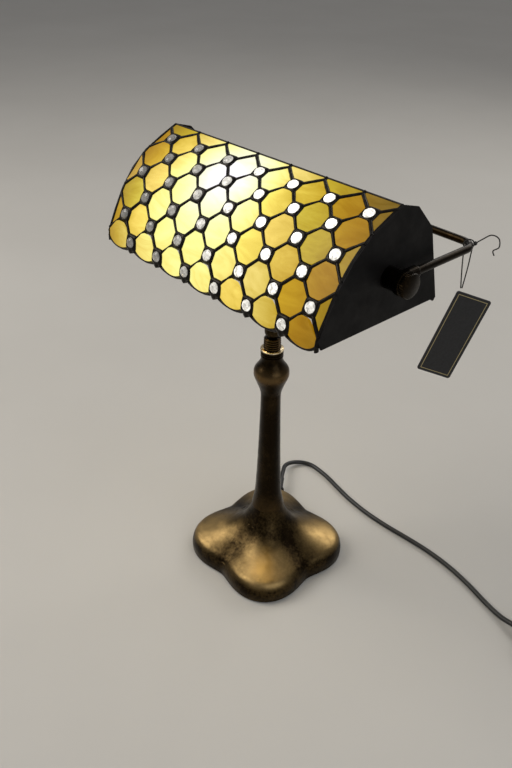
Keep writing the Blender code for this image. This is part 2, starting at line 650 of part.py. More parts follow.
def make_cord():
    start = CORD_OUT * (BASE_EDGE + 0.9 + BUSHING_TAIL + GAP) + Vector((0, 0, CORD_Z))
    entry = SWITCH_AT + Vector((-SWITCH_L / 2 - GAP, 0, ENTRY_Z))
    tube("cord_to_switch", smooth_route([start, start + CORD_OUT * 4.0] + ROUTE_TO_SWITCH + [entry], 12.0),
         CORD_D / 2, "black_plastic", CORD_BEND)

    leave = SWITCH_AT + Vector((SWITCH_L / 2 + GAP, 0, ENTRY_Z))
    beside = COIL_AT.y - COIL_OUTER_R - CORD_D - GAP
    tube("cord_to_coil", smooth_route([leave, leave + Vector((8, -1.0, -2.5)),
                                       Vector((COIL_AT.x - 26, beside + 4.5, FLOOR)),
                                       Vector((COIL_AT.x - 12, beside + 0.8, FLOOR)),
                                       Vector((COIL_AT.x, beside, FLOOR))], 8.0),
         CORD_D / 2, "black_plastic", CORD_BEND)

    outer = COIL_OUTER_R + CORD_D / 2
    inner = COIL_INNER_R - CORD_D / 2
    side = COIL_LIFT + CORD_D / 2
    turned("cord_coil", [(outer - 2.6, COIL_HEIGHT), (outer, side + 0.8), (outer, side - 0.8),
                         (outer - 1.5, COIL_LIFT)], "black_plastic",
           bore=[(inner + 1.5, COIL_LIFT), (inner, side - 0.8), (inner, side + 0.8),
                 (inner + 2.6, COIL_HEIGHT)], steps=22, at=tuple(COIL_AT))
    sag = inner - math.sqrt(inner ** 2 - (TIE_W / 2) ** 2)
    hole = [(COIL_AT.x + inner - sag - GAP, COIL_LIFT - GAP), (COIL_AT.x + outer + GAP, COIL_LIFT - GAP),
            (COIL_AT.x + outer + GAP, COIL_HEIGHT + GAP), (COIL_AT.x + inner - sag - GAP, COIL_HEIGHT + GAP)]
    band = [(hole[0][0] - TIE_T, hole[0][1] - TIE_T), (hole[1][0] + TIE_T, hole[1][1] - TIE_T),
            (hole[2][0] + TIE_T, hole[2][1] + TIE_T), (hole[3][0] - TIE_T, hole[3][1] + TIE_T)]
    extruded("coil_tie", band, COIL_AT.y - TIE_W / 2, COIL_AT.y + TIE_W / 2, "black_plastic", axis="Y",
             cutout=hole)

    back = PLUG_AT.x + PLUG_L / 2
    off = COIL_AT.x - math.sqrt(outer ** 2 - (PLUG_AT.y - COIL_AT.y) ** 2) - CORD_D / 2 - 1.0
    tube("cord_to_plug", smooth_route([Vector((back + 6.0 + GAP, PLUG_AT.y, PLUG_AT.z)),
                                       Vector((off, PLUG_AT.y, PLUG_AT.z + 0.6))], 8.0),
         CORD_D / 2, "black_plastic", CORD_BEND)


def make_plug():
    block("plug_body", (PLUG_L, PLUG_W, PLUG_T), PLUG_AT, "black_plastic", bevel=3.5)
    nose = turned("nose", [(CORD_D / 2 + 1.2, 6.0), (CORD_D / 2 + 2.2, -3.0)], "black_plastic", steps=16,
                  at=(PLUG_AT.x + PLUG_L / 2, PLUG_AT.y, PLUG_AT.z), axis="X")
    combine(bpy.data.objects["plug_body"], [nose], "UNION")
    for name, sign in (("plug_pin_1", -1), ("plug_pin_2", 1)):
        turned(name, [(PIN_R - 0.6, PIN_L), (PIN_R, PIN_L - 0.8), (PIN_R, 0.0)], "steel", steps=14,
               at=(PLUG_AT.x - PLUG_L / 2 - GAP, PLUG_AT.y + sign * PIN_SPACING / 2, PLUG_AT.z), axis="-X")


SWITCH_WALL = 1.8
ROCKER_L = 14.0
ROCKER_W = 9.0
ROCKER_R = 6.5
ROCKER_Z = SWITCH_H - 2.5              # axis of the rocker
ROCKER_TILT = math.radians(7.0)        # pressed to one side at rest


def make_switch():
    """Two half shells clamped over the cord, with a rocker in the upper one."""
    center = SWITCH_AT + Vector((0, 0, SWITCH_H / 2))
    for name, low, high in (("switch_bottom", -1.0, ENTRY_Z - GAP / 2),
                            ("switch_top", ENTRY_Z + GAP / 2, 30.0)):
        half = block(name, (SWITCH_L, SWITCH_W, SWITCH_H), center, "black_plastic", bevel=3.0)
        inside = block("inside", (SWITCH_L - 8 * SWITCH_WALL, SWITCH_W - 2 * SWITCH_WALL,
                                  SWITCH_H - 2 * SWITCH_WALL), center, "steel")
        entry = turned("entry", [(CORD_D / 2 + GAP, SWITCH_L), (CORD_D / 2 + GAP, -SWITCH_L)], "steel",
                       steps=16, at=(SWITCH_AT.x, SWITCH_AT.y, ENTRY_Z), axis="X")
        tools = [inside, entry]
        if low > 0:
            tools.append(block("below", (90, 60, 60), SWITCH_AT + Vector((0, 0, low - 30)), "steel"))
            tools.append(block("window", (ROCKER_L + 3.0, ROCKER_W + 2 * GAP, 20),
                               SWITCH_AT + Vector((0, 0, SWITCH_H)), "steel"))
        else:
            tools.append(block("above", (90, 60, 60), SWITCH_AT + Vector((0, 0, high + 30)), "steel"))
        combine(half, tools)
    top = [(ROCKER_L / 2, 1.4), (ROCKER_L / 2, 3.4), (0.0, 1.6), (-ROCKER_L / 2, 3.4), (-ROCKER_L / 2, 1.4)]
    under = [(ROCKER_R * math.cos(a), ROCKER_R * math.sin(a))
             for a in (math.radians(-175 + 170 * k / 8) for k in range(9))]
    outline = []
    for x, z in top + under:
        outline.append((SWITCH_AT.x + x * math.cos(ROCKER_TILT) - z * math.sin(ROCKER_TILT),
                        ROCKER_Z + x * math.sin(ROCKER_TILT) + z * math.cos(ROCKER_TILT)))
    extruded("switch_rocker", outline, SWITCH_AT.y - ROCKER_W / 2, SWITCH_AT.y + ROCKER_W / 2,
             "black_plastic", axis="Y")


# ---- hang tag --------------------------------------------------------------------------
STRING_R = 0.6
TAG_DROP = 44.0                        # from the yoke's centre line down to the hole in the tag
TAG_HOLE_IN = 4.0                      # the hole's distance from the two edges at its corner


def make_tag():
    """A blank card that hangs by one corner from the right bend of the yoke."""
    reach = ARM_X - YOKE_BEND_R + YOKE_BEND_R * math.sqrt(0.5)
    hang = Vector((reach, YOKE_BACK_Y - YOKE_BEND_R + YOKE_BEND_R * math.sqrt(0.5), PIVOT_Z))
    across = Vector((1, 1, 0)).normalized()
    up = Vector((0, 0, 1))
    side, down = TAG_W / 2 - TAG_HOLE_IN, TAG_L / 2 - TAG_HOLE_IN
    lean = math.atan2(side, down)
    middle = hang - up * (TAG_DROP + math.hypot(side, down))
    card = block("tag_card", (TAG_W, TAG_T, TAG_L), (0, 0, 0), "card")
    card.matrix_world = (Matrix.Translation(middle * MM) @ Euler((0, 0, math.pi / 4)).to_matrix().to_4x4()
                         @ Euler((0, lean, 0)).to_matrix().to_4x4())
    loop_r = ROD_R + STRING_R + GAP
    loop = arc(hang, loop_r, -20, 200, 14, (across, up))
    foot = hang - up * (TAG_DROP - TAG_HOLE_IN / math.cos(lean) - 3.0)
    route = [foot + across * 0.8] + loop + [foot - across * 0.8]
    tube("tag_string", route, STRING_R, "black_plastic", 1)


make_column()
make_base()
make_yoke()
make_shade()
make_cord()
make_plug()
make_switch()
make_tag()
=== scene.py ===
"""Looks of the banker desk lamp: leaded glass shade, bronze stand, cord, hang tag, light and camera.

The frame is in metres. Sizes in this script are in millimetres, and every mesh or curve is made
through a helper that scales it to metres.
"""
import math
import random

import bmesh
import bpy
from mathutils import Matrix, Vector


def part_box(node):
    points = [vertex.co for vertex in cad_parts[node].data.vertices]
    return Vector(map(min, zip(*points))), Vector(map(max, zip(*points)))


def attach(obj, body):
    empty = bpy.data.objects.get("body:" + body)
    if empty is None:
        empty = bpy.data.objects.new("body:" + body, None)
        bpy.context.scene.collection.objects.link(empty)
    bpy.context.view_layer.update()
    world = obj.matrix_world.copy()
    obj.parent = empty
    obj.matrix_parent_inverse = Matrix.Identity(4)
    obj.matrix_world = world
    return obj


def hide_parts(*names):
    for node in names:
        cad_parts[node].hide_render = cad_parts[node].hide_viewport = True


MM = 0.001

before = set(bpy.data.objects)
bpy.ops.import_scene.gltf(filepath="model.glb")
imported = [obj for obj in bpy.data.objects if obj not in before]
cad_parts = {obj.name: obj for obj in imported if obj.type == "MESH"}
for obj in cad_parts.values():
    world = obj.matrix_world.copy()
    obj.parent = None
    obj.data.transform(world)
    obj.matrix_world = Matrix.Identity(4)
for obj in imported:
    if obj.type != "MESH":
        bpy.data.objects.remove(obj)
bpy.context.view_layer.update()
scene = bpy.context.scene
scene.view_settings.view_transform = "Standard"


def node_box(name):
    """Lowest and highest corner of a CAD node, in millimetres."""
    low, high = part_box(name)
    return Vector(low) / MM, Vector(high) / MM


def smoothstep(t):
    t = min(max(t, 0.0), 1.0)
    return t * t * (3.0 - 2.0 * t)


def spline(a, b, c, d, t):
    """A point between b and c on a smooth curve through a, b, c and d."""
    return 0.5 * (2 * b + (c - a) * t + (2 * a - 5 * b + 4 * c - d) * t * t
                  + (3 * b - a - 3 * c + d) * t * t * t)


def smooth_route(points, spacing, per_span=16):
    """Sample a smooth curve through given points at an even spacing."""
    knots = [Vector(p) for p in points]
    dense = []
    for i in range(len(knots) - 1):
        before = knots[max(i - 1, 0)]
        start, end = knots[i], knots[i + 1]
        after = knots[min(i + 2, len(knots) - 1)]
        for k in range(per_span):
            dense.append(spline(before, start, end, after, k / per_span))
    dense.append(knots[-1])
    total = sum((b - a).length for a, b in zip(dense, dense[1:]))
    count = max(2, round(total / spacing))
    step = total / count
    sampled, travelled, target = [dense[0]], 0.0, step
    for a, b in zip(dense, dense[1:]):
        length = (b - a).length
        while travelled + length >= target and len(sampled) < count:
            sampled.append(a.lerp(b, (target - travelled) / length))
            target += step
        travelled += length
    sampled.append(dense[-1])
    return sampled


# ---- camera ----
CAMERA_AT = (451.4, -428.9, 615.7)
CAMERA_TURN = math.radians(47.76)      # from +Y towards -X
CAMERA_DOWN = math.radians(33.2)
CAMERA_ROLL = math.radians(1.0)
CAMERA_LENS = 37.5


def make_camera():
    turn = Matrix.Rotation(CAMERA_TURN, 4, "Z") @ Matrix.Rotation(math.pi / 2 - CAMERA_DOWN, 4, "X")
    camera = bpy.data.objects.new("camera", bpy.data.cameras.new("camera"))
    camera.data.lens = CAMERA_LENS
    camera.data.clip_start = 0.01
    camera.matrix_world = (Matrix.Translation(Vector(CAMERA_AT) * MM) @ turn
                           @ Matrix.Rotation(CAMERA_ROLL, 4, "Z"))
    scene.collection.objects.link(camera)
    scene.camera = camera


make_camera()


# ---- materials ----
class Recipe:
    """A Principled material, with short calls that add nodes to it."""

    def __init__(self, name, roughness=0.5, metallic=0.0, color=(0.5, 0.5, 0.5)):
        self.material = bpy.data.materials.new(name)
        self.material.use_nodes = True
        self.tree = self.material.node_tree
        self.shader = self.tree.nodes["Principled BSDF"]
        self.set("Roughness", roughness)
        self.set("Metallic", metallic)
        self.set("Base Color", (*color, 1.0))
        self.place = self.add("TexCoord").outputs["Object"]

    def set(self, socket, value):
        self.shader.inputs[socket].default_value = value

    def add(self, kind, **values):
        node = self.tree.nodes.new("ShaderNode" + kind)
        for key, value in values.items():
            if key in node.inputs:
                node.inputs[key].default_value = value
            else:
                setattr(node, key, value)
        return node

    def join(self, source, target):
        self.tree.links.new(source, target)

    def feed(self, source, socket):
        self.join(source, self.shader.inputs[socket])

    def noise(self, scale, detail=4.0, roughness=0.55, stretch=None, distortion=0.0):
        texture = self.add("TexNoise", Scale=scale, Detail=detail, Roughness=roughness, Distortion=distortion)
        source = self.place
        if stretch:
            mapping = self.add("Mapping", Scale=stretch)
            self.join(source, mapping.inputs["Vector"])
            source = mapping.outputs["Vector"]
        self.join(source, texture.inputs["Vector"])
        return texture.outputs["Fac"]

    def math(self, operation, first, second=None):
        node = self.add("Math", operation=operation)
        for socket, value in zip(node.inputs, (first, second)):
            if isinstance(value, (int, float)):
                socket.default_value = value
            elif value is not None:
                self.join(value, socket)
        return node.outputs["Value"]

    def remap(self, source, low, high, start=0.0, end=1.0):
        node = self.add("MapRange")
        for socket, value in zip(("From Min", "From Max", "To Min", "To Max"), (start, end, low, high)):
            node.inputs[socket].default_value = value
        self.join(source, node.inputs["Value"])
        return node.outputs["Result"]

    def ramp(self, source, stops):
        node = self.add("ValToRGB")
        elements = node.color_ramp.elements
        elements[0].position, elements[1].position = stops[0][0], stops[-1][0]
        for position, _ in stops[1:-1]:
            elements.new(position)
        for element, (_, color) in zip(elements, stops):
            element.color = (*color, 1.0)
        self.join(source, node.inputs["Fac"])
        return node.outputs["Color"]

    def mix(self, share, first, second, blend="MIX"):
        node = self.add("Mix", data_type="RGBA", blend_type=blend)
        for socket, value in ((node.inputs[0], share), (node.inputs[6], first), (node.inputs[7], second)):
            if isinstance(value, tuple):
                socket.default_value = (*value, 1.0)
            elif isinstance(value, (int, float)):
                socket.default_value = value
            else:
                self.join(value, socket)
        return node.outputs[2]

    def distance(self, point):
        """Distance in metres from a point given in millimetres."""
        node = self.add("VectorMath", operation="DISTANCE")
        node.inputs[1].default_value = Vector(point) * MM
        self.join(self.place, node.inputs[0])
        return node.outputs["Value"]

    def bump(self, height, strength, depth):
        node = self.add("Bump", Strength=strength, Distance=depth * MM)
        self.join(height, node.inputs["Height"])
        self.join(node.outputs["Normal"], self.shader.inputs["Normal"])


def cast_metal(name, dark, light, roughness, worn=0.0, scale=45.0):
    """Patinated metal: dark in its hollows, brighter where its vertex attribute is high; that attribute holds
    rubbed wear together with painted highlights and painted light.
    """
    r = Recipe(name, roughness, 1.0)
    wear_and_painted_light = r.add("Attribute", attribute_name="wear_and_painted_light").outputs["Fac"]
    cloud = r.remap(r.noise(scale, 6.0, 0.6), -0.26, 0.26)
    fleck = r.remap(r.noise(scale * 9, 3.0, 0.6), -0.14, 0.14)
    share = r.math("ADD", r.math("ADD", r.math("ADD", wear_and_painted_light, worn), cloud), fleck)
    r.feed(r.ramp(share, [(0.0, dark), (0.45, tuple((a + b) / 2.6 for a, b in zip(dark, light))),
                          (1.0, light)]), "Base Color")
    r.feed(r.remap(r.noise(scale * 3, 5.0), roughness - 0.07, roughness + 0.12, 0.3, 0.7), "Roughness")
    r.bump(r.noise(scale * 14, 4.0, 0.6), 0.12, 0.3)
    return r.material


def solder():
    r = Recipe("solder", 0.36, 0.85)
    r.feed(r.ramp(r.noise(120.0, 5.0), [(0.3, (0.006, 0.005, 0.0045)), (0.62, (0.020, 0.017, 0.014)),
                                        (0.85, (0.055, 0.048, 0.04))]), "Base Color")
    r.feed(r.remap(r.noise(300.0, 3.0), 0.26, 0.5, 0.3, 0.7), "Roughness")
    r.bump(r.noise(260.0, 4.0), 0.35, 0.5)
    return r.material


def black_sheet():
    r = Recipe("black_sheet", 0.6, 0.0)
    r.set("Specular IOR Level", 0.16)
    r.feed(r.ramp(r.noise(30.0, 6.0), [(0.3, (0.0016, 0.0014, 0.0014)), (0.75, (0.007, 0.006, 0.0055))]),
           "Base Color")
    r.feed(r.remap(r.noise(80.0, 5.0), 0.46, 0.68, 0.3, 0.7), "Roughness")
    r.bump(r.noise(700.0, 3.0), 0.12, 0.2)
    return r.material


def polished(name, dark, light, roughness):
    r = Recipe(name, roughness, 1.0)
    r.feed(r.ramp(r.noise(160.0, 5.0), [(0.3, dark), (0.7, light)]), "Base Color")
    r.feed(r.remap(r.noise(420.0, 3.0), roughness - 0.05, roughness + 0.12, 0.3, 0.7), "Roughness")
    return r.material


def plastic(name, dark, light, roughness):
    r = Recipe(name, roughness, 0.0)
    r.feed(r.ramp(r.noise(90.0, 4.0), [(0.3, dark), (0.7, light)]), "Base Color")
    r.feed(r.remap(r.noise(600.0, 3.0), roughness - 0.06, roughness + 0.08, 0.3, 0.7), "Roughness")
    r.bump(r.noise(2600.0, 2.0), 0.10, 0.15)
    return r.material


def felt():
    r = Recipe("felt", 0.95)
    r.feed(r.ramp(r.noise(900.0, 5.0), [(0.3, (0.006, 0.012, 0.008)), (0.7, (0.02, 0.034, 0.022))]),
           "Base Color")
    r.set("Sheen Weight", 0.5)
    r.bump(r.noise(1800.0, 3.0), 0.6, 0.4)
    return r.material


# The bulb's light through the glass is a painted glow, given as emission. Seen from the front the brightest
# glass lies a little to the right of the bulb and up the front of the shade, and the painted hot spot sits
# there.
HOT_AT = (-22.0, -32.0, 407.0)
GLOW_AT = (-24.0, -64.0, 378.0)
JEWEL_GLOW_AT = (60.0, -40.0, 410.0)
# Colour of lit glass by how strongly it is lit, from barely lit to blown out.
LIT_GLASS = [(0.04, (0.10, 0.060, 0.004)), (0.10, (0.29, 0.160, 0.005)), (0.17, (0.49, 0.335, 0.022)),
             (0.23, (0.67, 0.52, 0.085)), (0.285, (0.84, 0.68, 0.16)), (0.33, (0.93, 0.84, 0.23)),
             (0.38, (0.95, 0.94, 0.32)), (0.47, (0.96, 0.98, 0.42)), (0.66, (0.96, 1.0, 0.62)),
             (1.0, (1.0, 1.0, 0.97))]
LIT_MOST = 3.0


def falloff(r, point, reach):
    """1 at the point, falling off like a bell; reach in millimetres."""
    share = r.math("DIVIDE", r.distance(point), reach * MM)
    return r.math("EXPONENT", r.math("MULTIPLY", r.math("MULTIPLY", share, share), -1.0))


def opal_glass():
    """Opalescent glass: streaky, each piece in its own tint, with a painted glow from the bulb behind it."""
    r = Recipe("opal_glass", 0.32)
    tint = r.add("Attribute", attribute_name="tint")
    streak = r.noise(24.0, 5.0, 0.6, stretch=(1.0, 2.4, 2.4), distortion=1.8)
    milk = r.remap(streak, 0.88, 1.12, 0.3, 0.7)
    hot = r.math("MULTIPLY", falloff(r, HOT_AT, 31.0), 2.4)
    wide = r.math("MULTIPLY", falloff(r, GLOW_AT, 122.0), 1.10)
    level = r.math("ADD", r.math("ADD", hot, wide), 0.08)
    level = r.math("MULTIPLY", r.math("MULTIPLY", level, milk), tint.outputs["Alpha"])
    apart = r.add("SeparateXYZ")
    r.join(r.place, apart.inputs["Vector"])
    # Painted shade of the lampholder: the glow is dimmer towards the left end of the shade.
    holder_shade = r.remap(apart.outputs["X"], 0.62, 1.0, -0.130, -0.098)
    lit = r.ramp(r.math("DIVIDE", r.math("MULTIPLY", level, holder_shade), LIT_MOST), LIT_GLASS)
    r.feed(r.mix(1.0, lit, tint.outputs["Color"], "MULTIPLY"), "Emission Color")
    r.set("Emission Strength", 1.0)
    body = r.ramp(streak, [(0.3, (0.10, 0.065, 0.012)), (0.7, (0.16, 0.12, 0.04))])
    r.feed(r.mix(1.0, body, tint.outputs["Color"], "MULTIPLY"), "Base Color")
    r.set("Specular IOR Level", 0.12)
    r.bump(r.noise(70.0, 3.0, stretch=(1.0, 2.0, 2.0)), 0.12, 0.6)
    return r.material


def jewel_glass():
    """Clear cut glass with painted glints: each facet glows at its own strength, brighter near the painted
    glow of the light behind it.
    """
    r = Recipe("jewel_glass", 0.04, 0.0, (0.86, 0.85, 0.82))
    normal = r.add("TexCoord").outputs["Normal"]
    spark = r.add("TexWhiteNoise", noise_dimensions="3D")
    coarse = r.add("VectorMath", operation="SNAP")
    coarse.inputs[1].default_value = (0.16, 0.16, 0.16)
    r.join(normal, coarse.inputs[0])
    r.join(coarse.outputs["Vector"], spark.inputs["Vector"])
    facet = r.remap(spark.outputs["Value"], 0.45, 1.25)
    level = r.math("ADD", r.math("MULTIPLY", falloff(r, JEWEL_GLOW_AT, 80.0), 1.9), 0.07)
    r.set("Emission Color", (1.0, 0.97, 0.88, 1.0))
    r.feed(r.math("MULTIPLY", facet, level), "Emission Strength")
    r.set("Transmission Weight", 0.35)
    r.set("IOR", 1.52)
    tone = r.ramp(r.noise(240.0, 2.0), [(0.3, (0.20, 0.19, 0.17)), (0.7, (0.42, 0.40, 0.37))])
    r.feed(tone, "Base Color")
    return r.material


def bulb_glass():
    r = Recipe("bulb_glass", 0.3, 0.0, (0.95, 0.93, 0.88))
    glow = r.ramp(r.noise(40.0, 2.0), [(0.3, (1.0, 0.80, 0.52)), (0.7, (1.0, 0.86, 0.62))])
    r.feed(glow, "Emission Color")
    r.set("Emission Strength", 16.0)
    return r.material


def card():
    """Black satin card with a thin printed border; the card lies in its own X and Z."""
    r = Recipe("card", 0.42)
    apart = r.add("SeparateXYZ")
    r.join(r.place, apart.inputs["Vector"])
    inset = 2.6 * MM
    side = r.math("SUBTRACT", TAG_W / 2 * MM - inset, r.math("ABSOLUTE", apart.outputs["X"]))
    end = r.math("SUBTRACT", TAG_L / 2 * MM - inset, r.math("ABSOLUTE", apart.outputs["Z"]))
    edge = r.math("ABSOLUTE", r.math("MINIMUM", side, end))
    line = r.math("LESS_THAN", edge, 0.28 * MM)
    paper = r.ramp(r.noise(500.0, 4.0), [(0.3, (0.006, 0.006, 0.007)), (0.7, (0.014, 0.014, 0.016))])
    r.feed(r.mix(line, paper, (0.42, 0.34, 0.16)), "Base Color")
    r.bump(r.noise(1500.0, 2.0), 0.15, 0.1)
    return r.material


def string_thread():
    r = Recipe("string_thread", 0.8)
    wave = r.add("TexWave", Scale=420.0, Distortion=1.5)
    r.join(r.place, wave.inputs["Vector"])
    r.feed(r.ramp(wave.outputs["Fac"], [(0.2, (0.004, 0.004, 0.004)), (0.8, (0.03, 0.028, 0.026))]),
           "Base Color")
    r.bump(wave.outputs["Fac"], 0.5, 0.2)
    return r.material


TAG_W = 30.0
TAG_L = 78.0

MATERIALS = {
    "bronze": cast_metal("bronze", (0.013, 0.008, 0.0036), (0.46, 0.31, 0.125), 0.37),
    "dark_bronze": cast_metal("dark_bronze", (0.012, 0.008, 0.004), (0.16, 0.10, 0.042), 0.30),
    "black_metal": black_sheet(),
    "bright_brass": polished("bright_brass", (0.52, 0.40, 0.22), (0.86, 0.74, 0.52), 0.2),
    "steel": polished("steel", (0.30, 0.29, 0.28), (0.52, 0.51, 0.49), 0.32),
    "iron": cast_metal("iron", (0.02, 0.02, 0.02), (0.09, 0.085, 0.08), 0.6),
    "felt": felt(),
    "opal_glass": opal_glass(),
    "jewel_glass": jewel_glass(),
    "lead": solder(),
    "ceramic": plastic("ceramic", (0.72, 0.70, 0.65), (0.86, 0.84, 0.79), 0.35),
    "bulb_glass": bulb_glass(),
    "black_plastic": plastic("black_plastic", (0.006, 0.006, 0.006), (0.018, 0.018, 0.018), 0.4),
    "cord_pvc": plastic("cord_pvc", (0.005, 0.005, 0.005), (0.014, 0.014, 0.014), 0.36),
    "card": card(),
    "string_thread": string_thread(),
}


# ---- making pieces ----
def finish_piece(obj, body, finish, replaces=()):
    """Give a new piece its material and slot, and say what it rides on and stands for."""
    if obj.name not in scene.collection.objects:
        scene.collection.objects.link(obj)
    obj.data.materials.clear()
    obj.data.materials.append(MATERIALS[finish])
    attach(obj, body)
    if replaces:
        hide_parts(*replaces)
    return obj


def bake(name, work, smooth=40.0):
    """A bmesh in millimetres as an object in metres, smooth where its faces meet gently."""
    bmesh.ops.recalc_face_normals(work, faces=work.faces)
    mesh = bpy.data.meshes.new(name)
    work.to_mesh(mesh)
    work.free()
    mesh.transform(Matrix.Scale(MM, 4))
    obj = bpy.data.objects.new(name, mesh)
    scene.collection.objects.link(obj)
    mesh.shade_smooth()
    mesh.set_sharp_from_angle(angle=math.radians(smooth))
    return obj


def wire(name, points, radius, rings=6, cap=True):
    """A curve with a round section through points that already lie close together."""
    data = bpy.data.curves.new(name, "CURVE")
    data.dimensions = "3D"
    data.bevel_depth = radius * MM
    data.bevel_resolution = rings
    data.use_fill_caps = cap
    spline = data.splines.new("POLY")
    spline.points.add(len(points) - 1)
    for point, place in zip(spline.points, points):
        point.co = (*(Vector(place) * MM), 1.0)
    spline.use_smooth = True
    return bpy.data.objects.new(name, data)


def frame_for(axis):
    """Rotation that takes +Z to an axis."""
    return Vector(axis).to_track_quat("Z", "Y").to_matrix().to_4x4()


def loft(work, loops, close_ends=True, wear_and_painted_light=None):
    """Join rings of points into one surface; the last argument gives one value of rubbed wear and painted
    highlight for each ring.
    """
    layer = work.verts.layers.float.get("wear_and_painted_light") or work.verts.layers.float.new("wear_and_painted_light")
    rings = []
    for i, loop in enumerate(loops):
        ring = [work.verts.new(p) for p in loop]
        for vert in ring:
            vert[layer] = wear_and_painted_light[i] if wear_and_painted_light else 0.0
        rings.append(ring)
    for ring, following in zip(rings, rings[1:]):
        for k in range(len(ring)):
            j = (k + 1) % len(ring)
            work.faces.new((ring[k], ring[j], following[j], following[k]))
    if close_ends:
        work.faces.new(rings[0][::-1])
        work.faces.new(rings[-1])
    return rings


def join_rings(work, rings):
    """Faces between each closed ring of vertices and the next, and from the last back to the first."""
    for ring, following in zip(rings, rings[1:] + rings[:1]):
        for i in range(len(ring)):
            j = (i + 1) % len(ring)
            work.faces.new((ring[i], following[i], following[j], ring[j]))


def lathe(name, profile, steps=64, at=(0, 0, 0), axis=(0, 0, 1), wear_and_painted_light=None, smooth=40.0, flutes=0, depth=0.0,
          fluted=None):
    """Turn a profile of (radius, height) about an axis; flutes cut grooves along the fluted heights."""
    work = bmesh.new()
    place = Matrix.Translation(Vector(at)) @ frame_for(axis)
    loops = []
    for radius, height in profile:
        cut = depth if flutes and fluted[0] <= height <= fluted[1] else 0.0
        loop = []
        for k in range(steps):
            angle = 2 * math.pi * k / steps
            r = max(radius - cut * (0.5 + 0.5 * math.cos(flutes * angle)), 0.01)
            loop.append(place @ Vector((r * math.cos(angle), r * math.sin(angle), height)))
        loops.append(loop)
    loft(work, loops, wear_and_painted_light=wear_and_painted_light)
    return bake(name, work, smooth)


def round_profile(points, spacing=1.0):
    """A smooth line through the points of a profile."""
    return [(p.x, p.y) for p in smooth_route([(x, y, 0.0) for x, y in points], spacing)]


# ---- cord ----
CORD_D = 5.0
CORD_ANGLE = math.radians(128.0)       # where the cord leaves the back lobe
CORD_OUT = Vector((math.cos(CORD_ANGLE), math.sin(CORD_ANGLE), 0.0))
CORD_Z = 11.0
CORD_START = 103.0                     # distance of the bushing's tail from the lamp's axis
FLOOR = CORD_D / 2 + 0.2
FIRST_RUN = 21.0                       # straight out of the bushing, then an even bend to the right
FIRST_BEND = 21.8
ROUTE_TO_SWITCH = [(-54.0, 132.8, FLOOR), (-47.5, 132.3, FLOOR), (-40.0, 131.5, FLOOR),
                   (-30.0, 129.8, FLOOR), (-18.0, 127.0, FLOOR),
                   (8.0, 122.0, FLOOR), (36.0, 119.5, FLOOR), (64.0, 120.0, FLOOR),
                   (92.0, 122.5, FLOOR), (120.0, 124.0, FLOOR), (148.0, 122.5, FLOOR),
                   (176.0, 117.5, FLOOR), (202.0, 110.5, FLOOR), (222.0, 106.0, 3.8),
                   (236.0, 104.2, 6.8)]
COIL_LOW = [43.3, 38.0, 33.0, 28.0, 23.0]      # radius at the end of each turn on the floor
COIL_HIGH = [23.0, 25.5, 30.5, 35.5]           # and of each turn on top of them
CROSSOVER = 0.42                               # share of a turn in which it changes its radius


def coil_points(center, base_z, per_turn=40):
    """Turns beside each other on the floor, inwards, then on top of them, outwards."""
    points = []
    turns = [(a, b, 0) for a, b in zip(COIL_LOW, COIL_LOW[1:])]
    turns += [(a, b, 1) for a, b in zip(COIL_HIGH, COIL_HIGH[1:])]
    for index, (start, end, layer) in enumerate(turns):
        last = index == len(turns) - 1
        for k in range(per_turn // 2 if last else per_turn):
            t = k / per_turn
            angle = 2 * math.pi * t - math.pi / 2
            move = smoothstep(t / CROSSOVER)
            radius = start + (end - start) * move
            height = base_z
            if index == 0:
                height = FLOOR + (base_z - FLOOR) * move
            elif layer == 0 and index == len(COIL_LOW) - 2:
                height = base_z + 5.1 * smoothstep((t - 0.7) / 0.3)
            elif layer:
                over = math.sin(math.pi * min(t / CROSSOVER, 1.0)) ** 2
                settle = 1.0 - smoothstep(t / CROSSOVER) if COIL_HIGH[0] == start else over
                height = base_z + 4.45 + 0.65 * max(settle, over)
            points.append(Vector((center.x + radius * math.cos(angle), center.y + radius * math.sin(angle),
                                  height)))
    return points


def eased(t):
    """0 to 1 with an even bend each way."""
    return 2 * t * t if t < 0.5 else 1.0 - 2 * (1.0 - t) ** 2


def first_bend(start, count=12):
    """From the bushing straight out, then round to the right while it sinks to the floor."""
    aside = Vector((CORD_OUT.y, -CORD_OUT.x, 0.0))
    pivot = start + CORD_OUT * FIRST_RUN + aside * FIRST_BEND
    ground = [start + CORD_OUT * (FIRST_RUN * k / 4) for k in range(4)]
    for k in range(count + 1):
        heading = CORD_ANGLE * (1.0 - k / count)
        ground.append(pivot + FIRST_BEND * Vector((-math.sin(heading), math.cos(heading), 0.0)))
    whole = FIRST_RUN + FIRST_BEND * CORD_ANGLE
    points, travelled = [], 0.0
    for before, here in zip(ground[:1] + ground[:-1], ground):
        travelled += (here - before).length
        sunk = eased(min(travelled / whole, 1.0))
        points.append(Vector((here.x, here.y, start.z + (FLOOR - start.z) * sunk)))
    return points


def s_bend(start, end, count=10):
    """From start to end along the lamp's X axis, an equal arc each way."""
    run, aside = abs(end.x - start.x), end.y - start.y
    radius = (run ** 2 + aside ** 2) / (4 * max(abs(aside), 0.01))
    points = []
    for k in range(count + 1):
        t = k / count
        half = min(t, 1.0 - t) * run
        moved = radius - math.sqrt(radius ** 2 - half ** 2)
        moved = math.copysign(moved, aside)
        y = start.y + moved if t <= 0.5 else end.y - moved
        points.append(Vector((start.x + (end.x - start.x) * t, y, start.z + (end.z - start.z) * eased(t))))
    return points


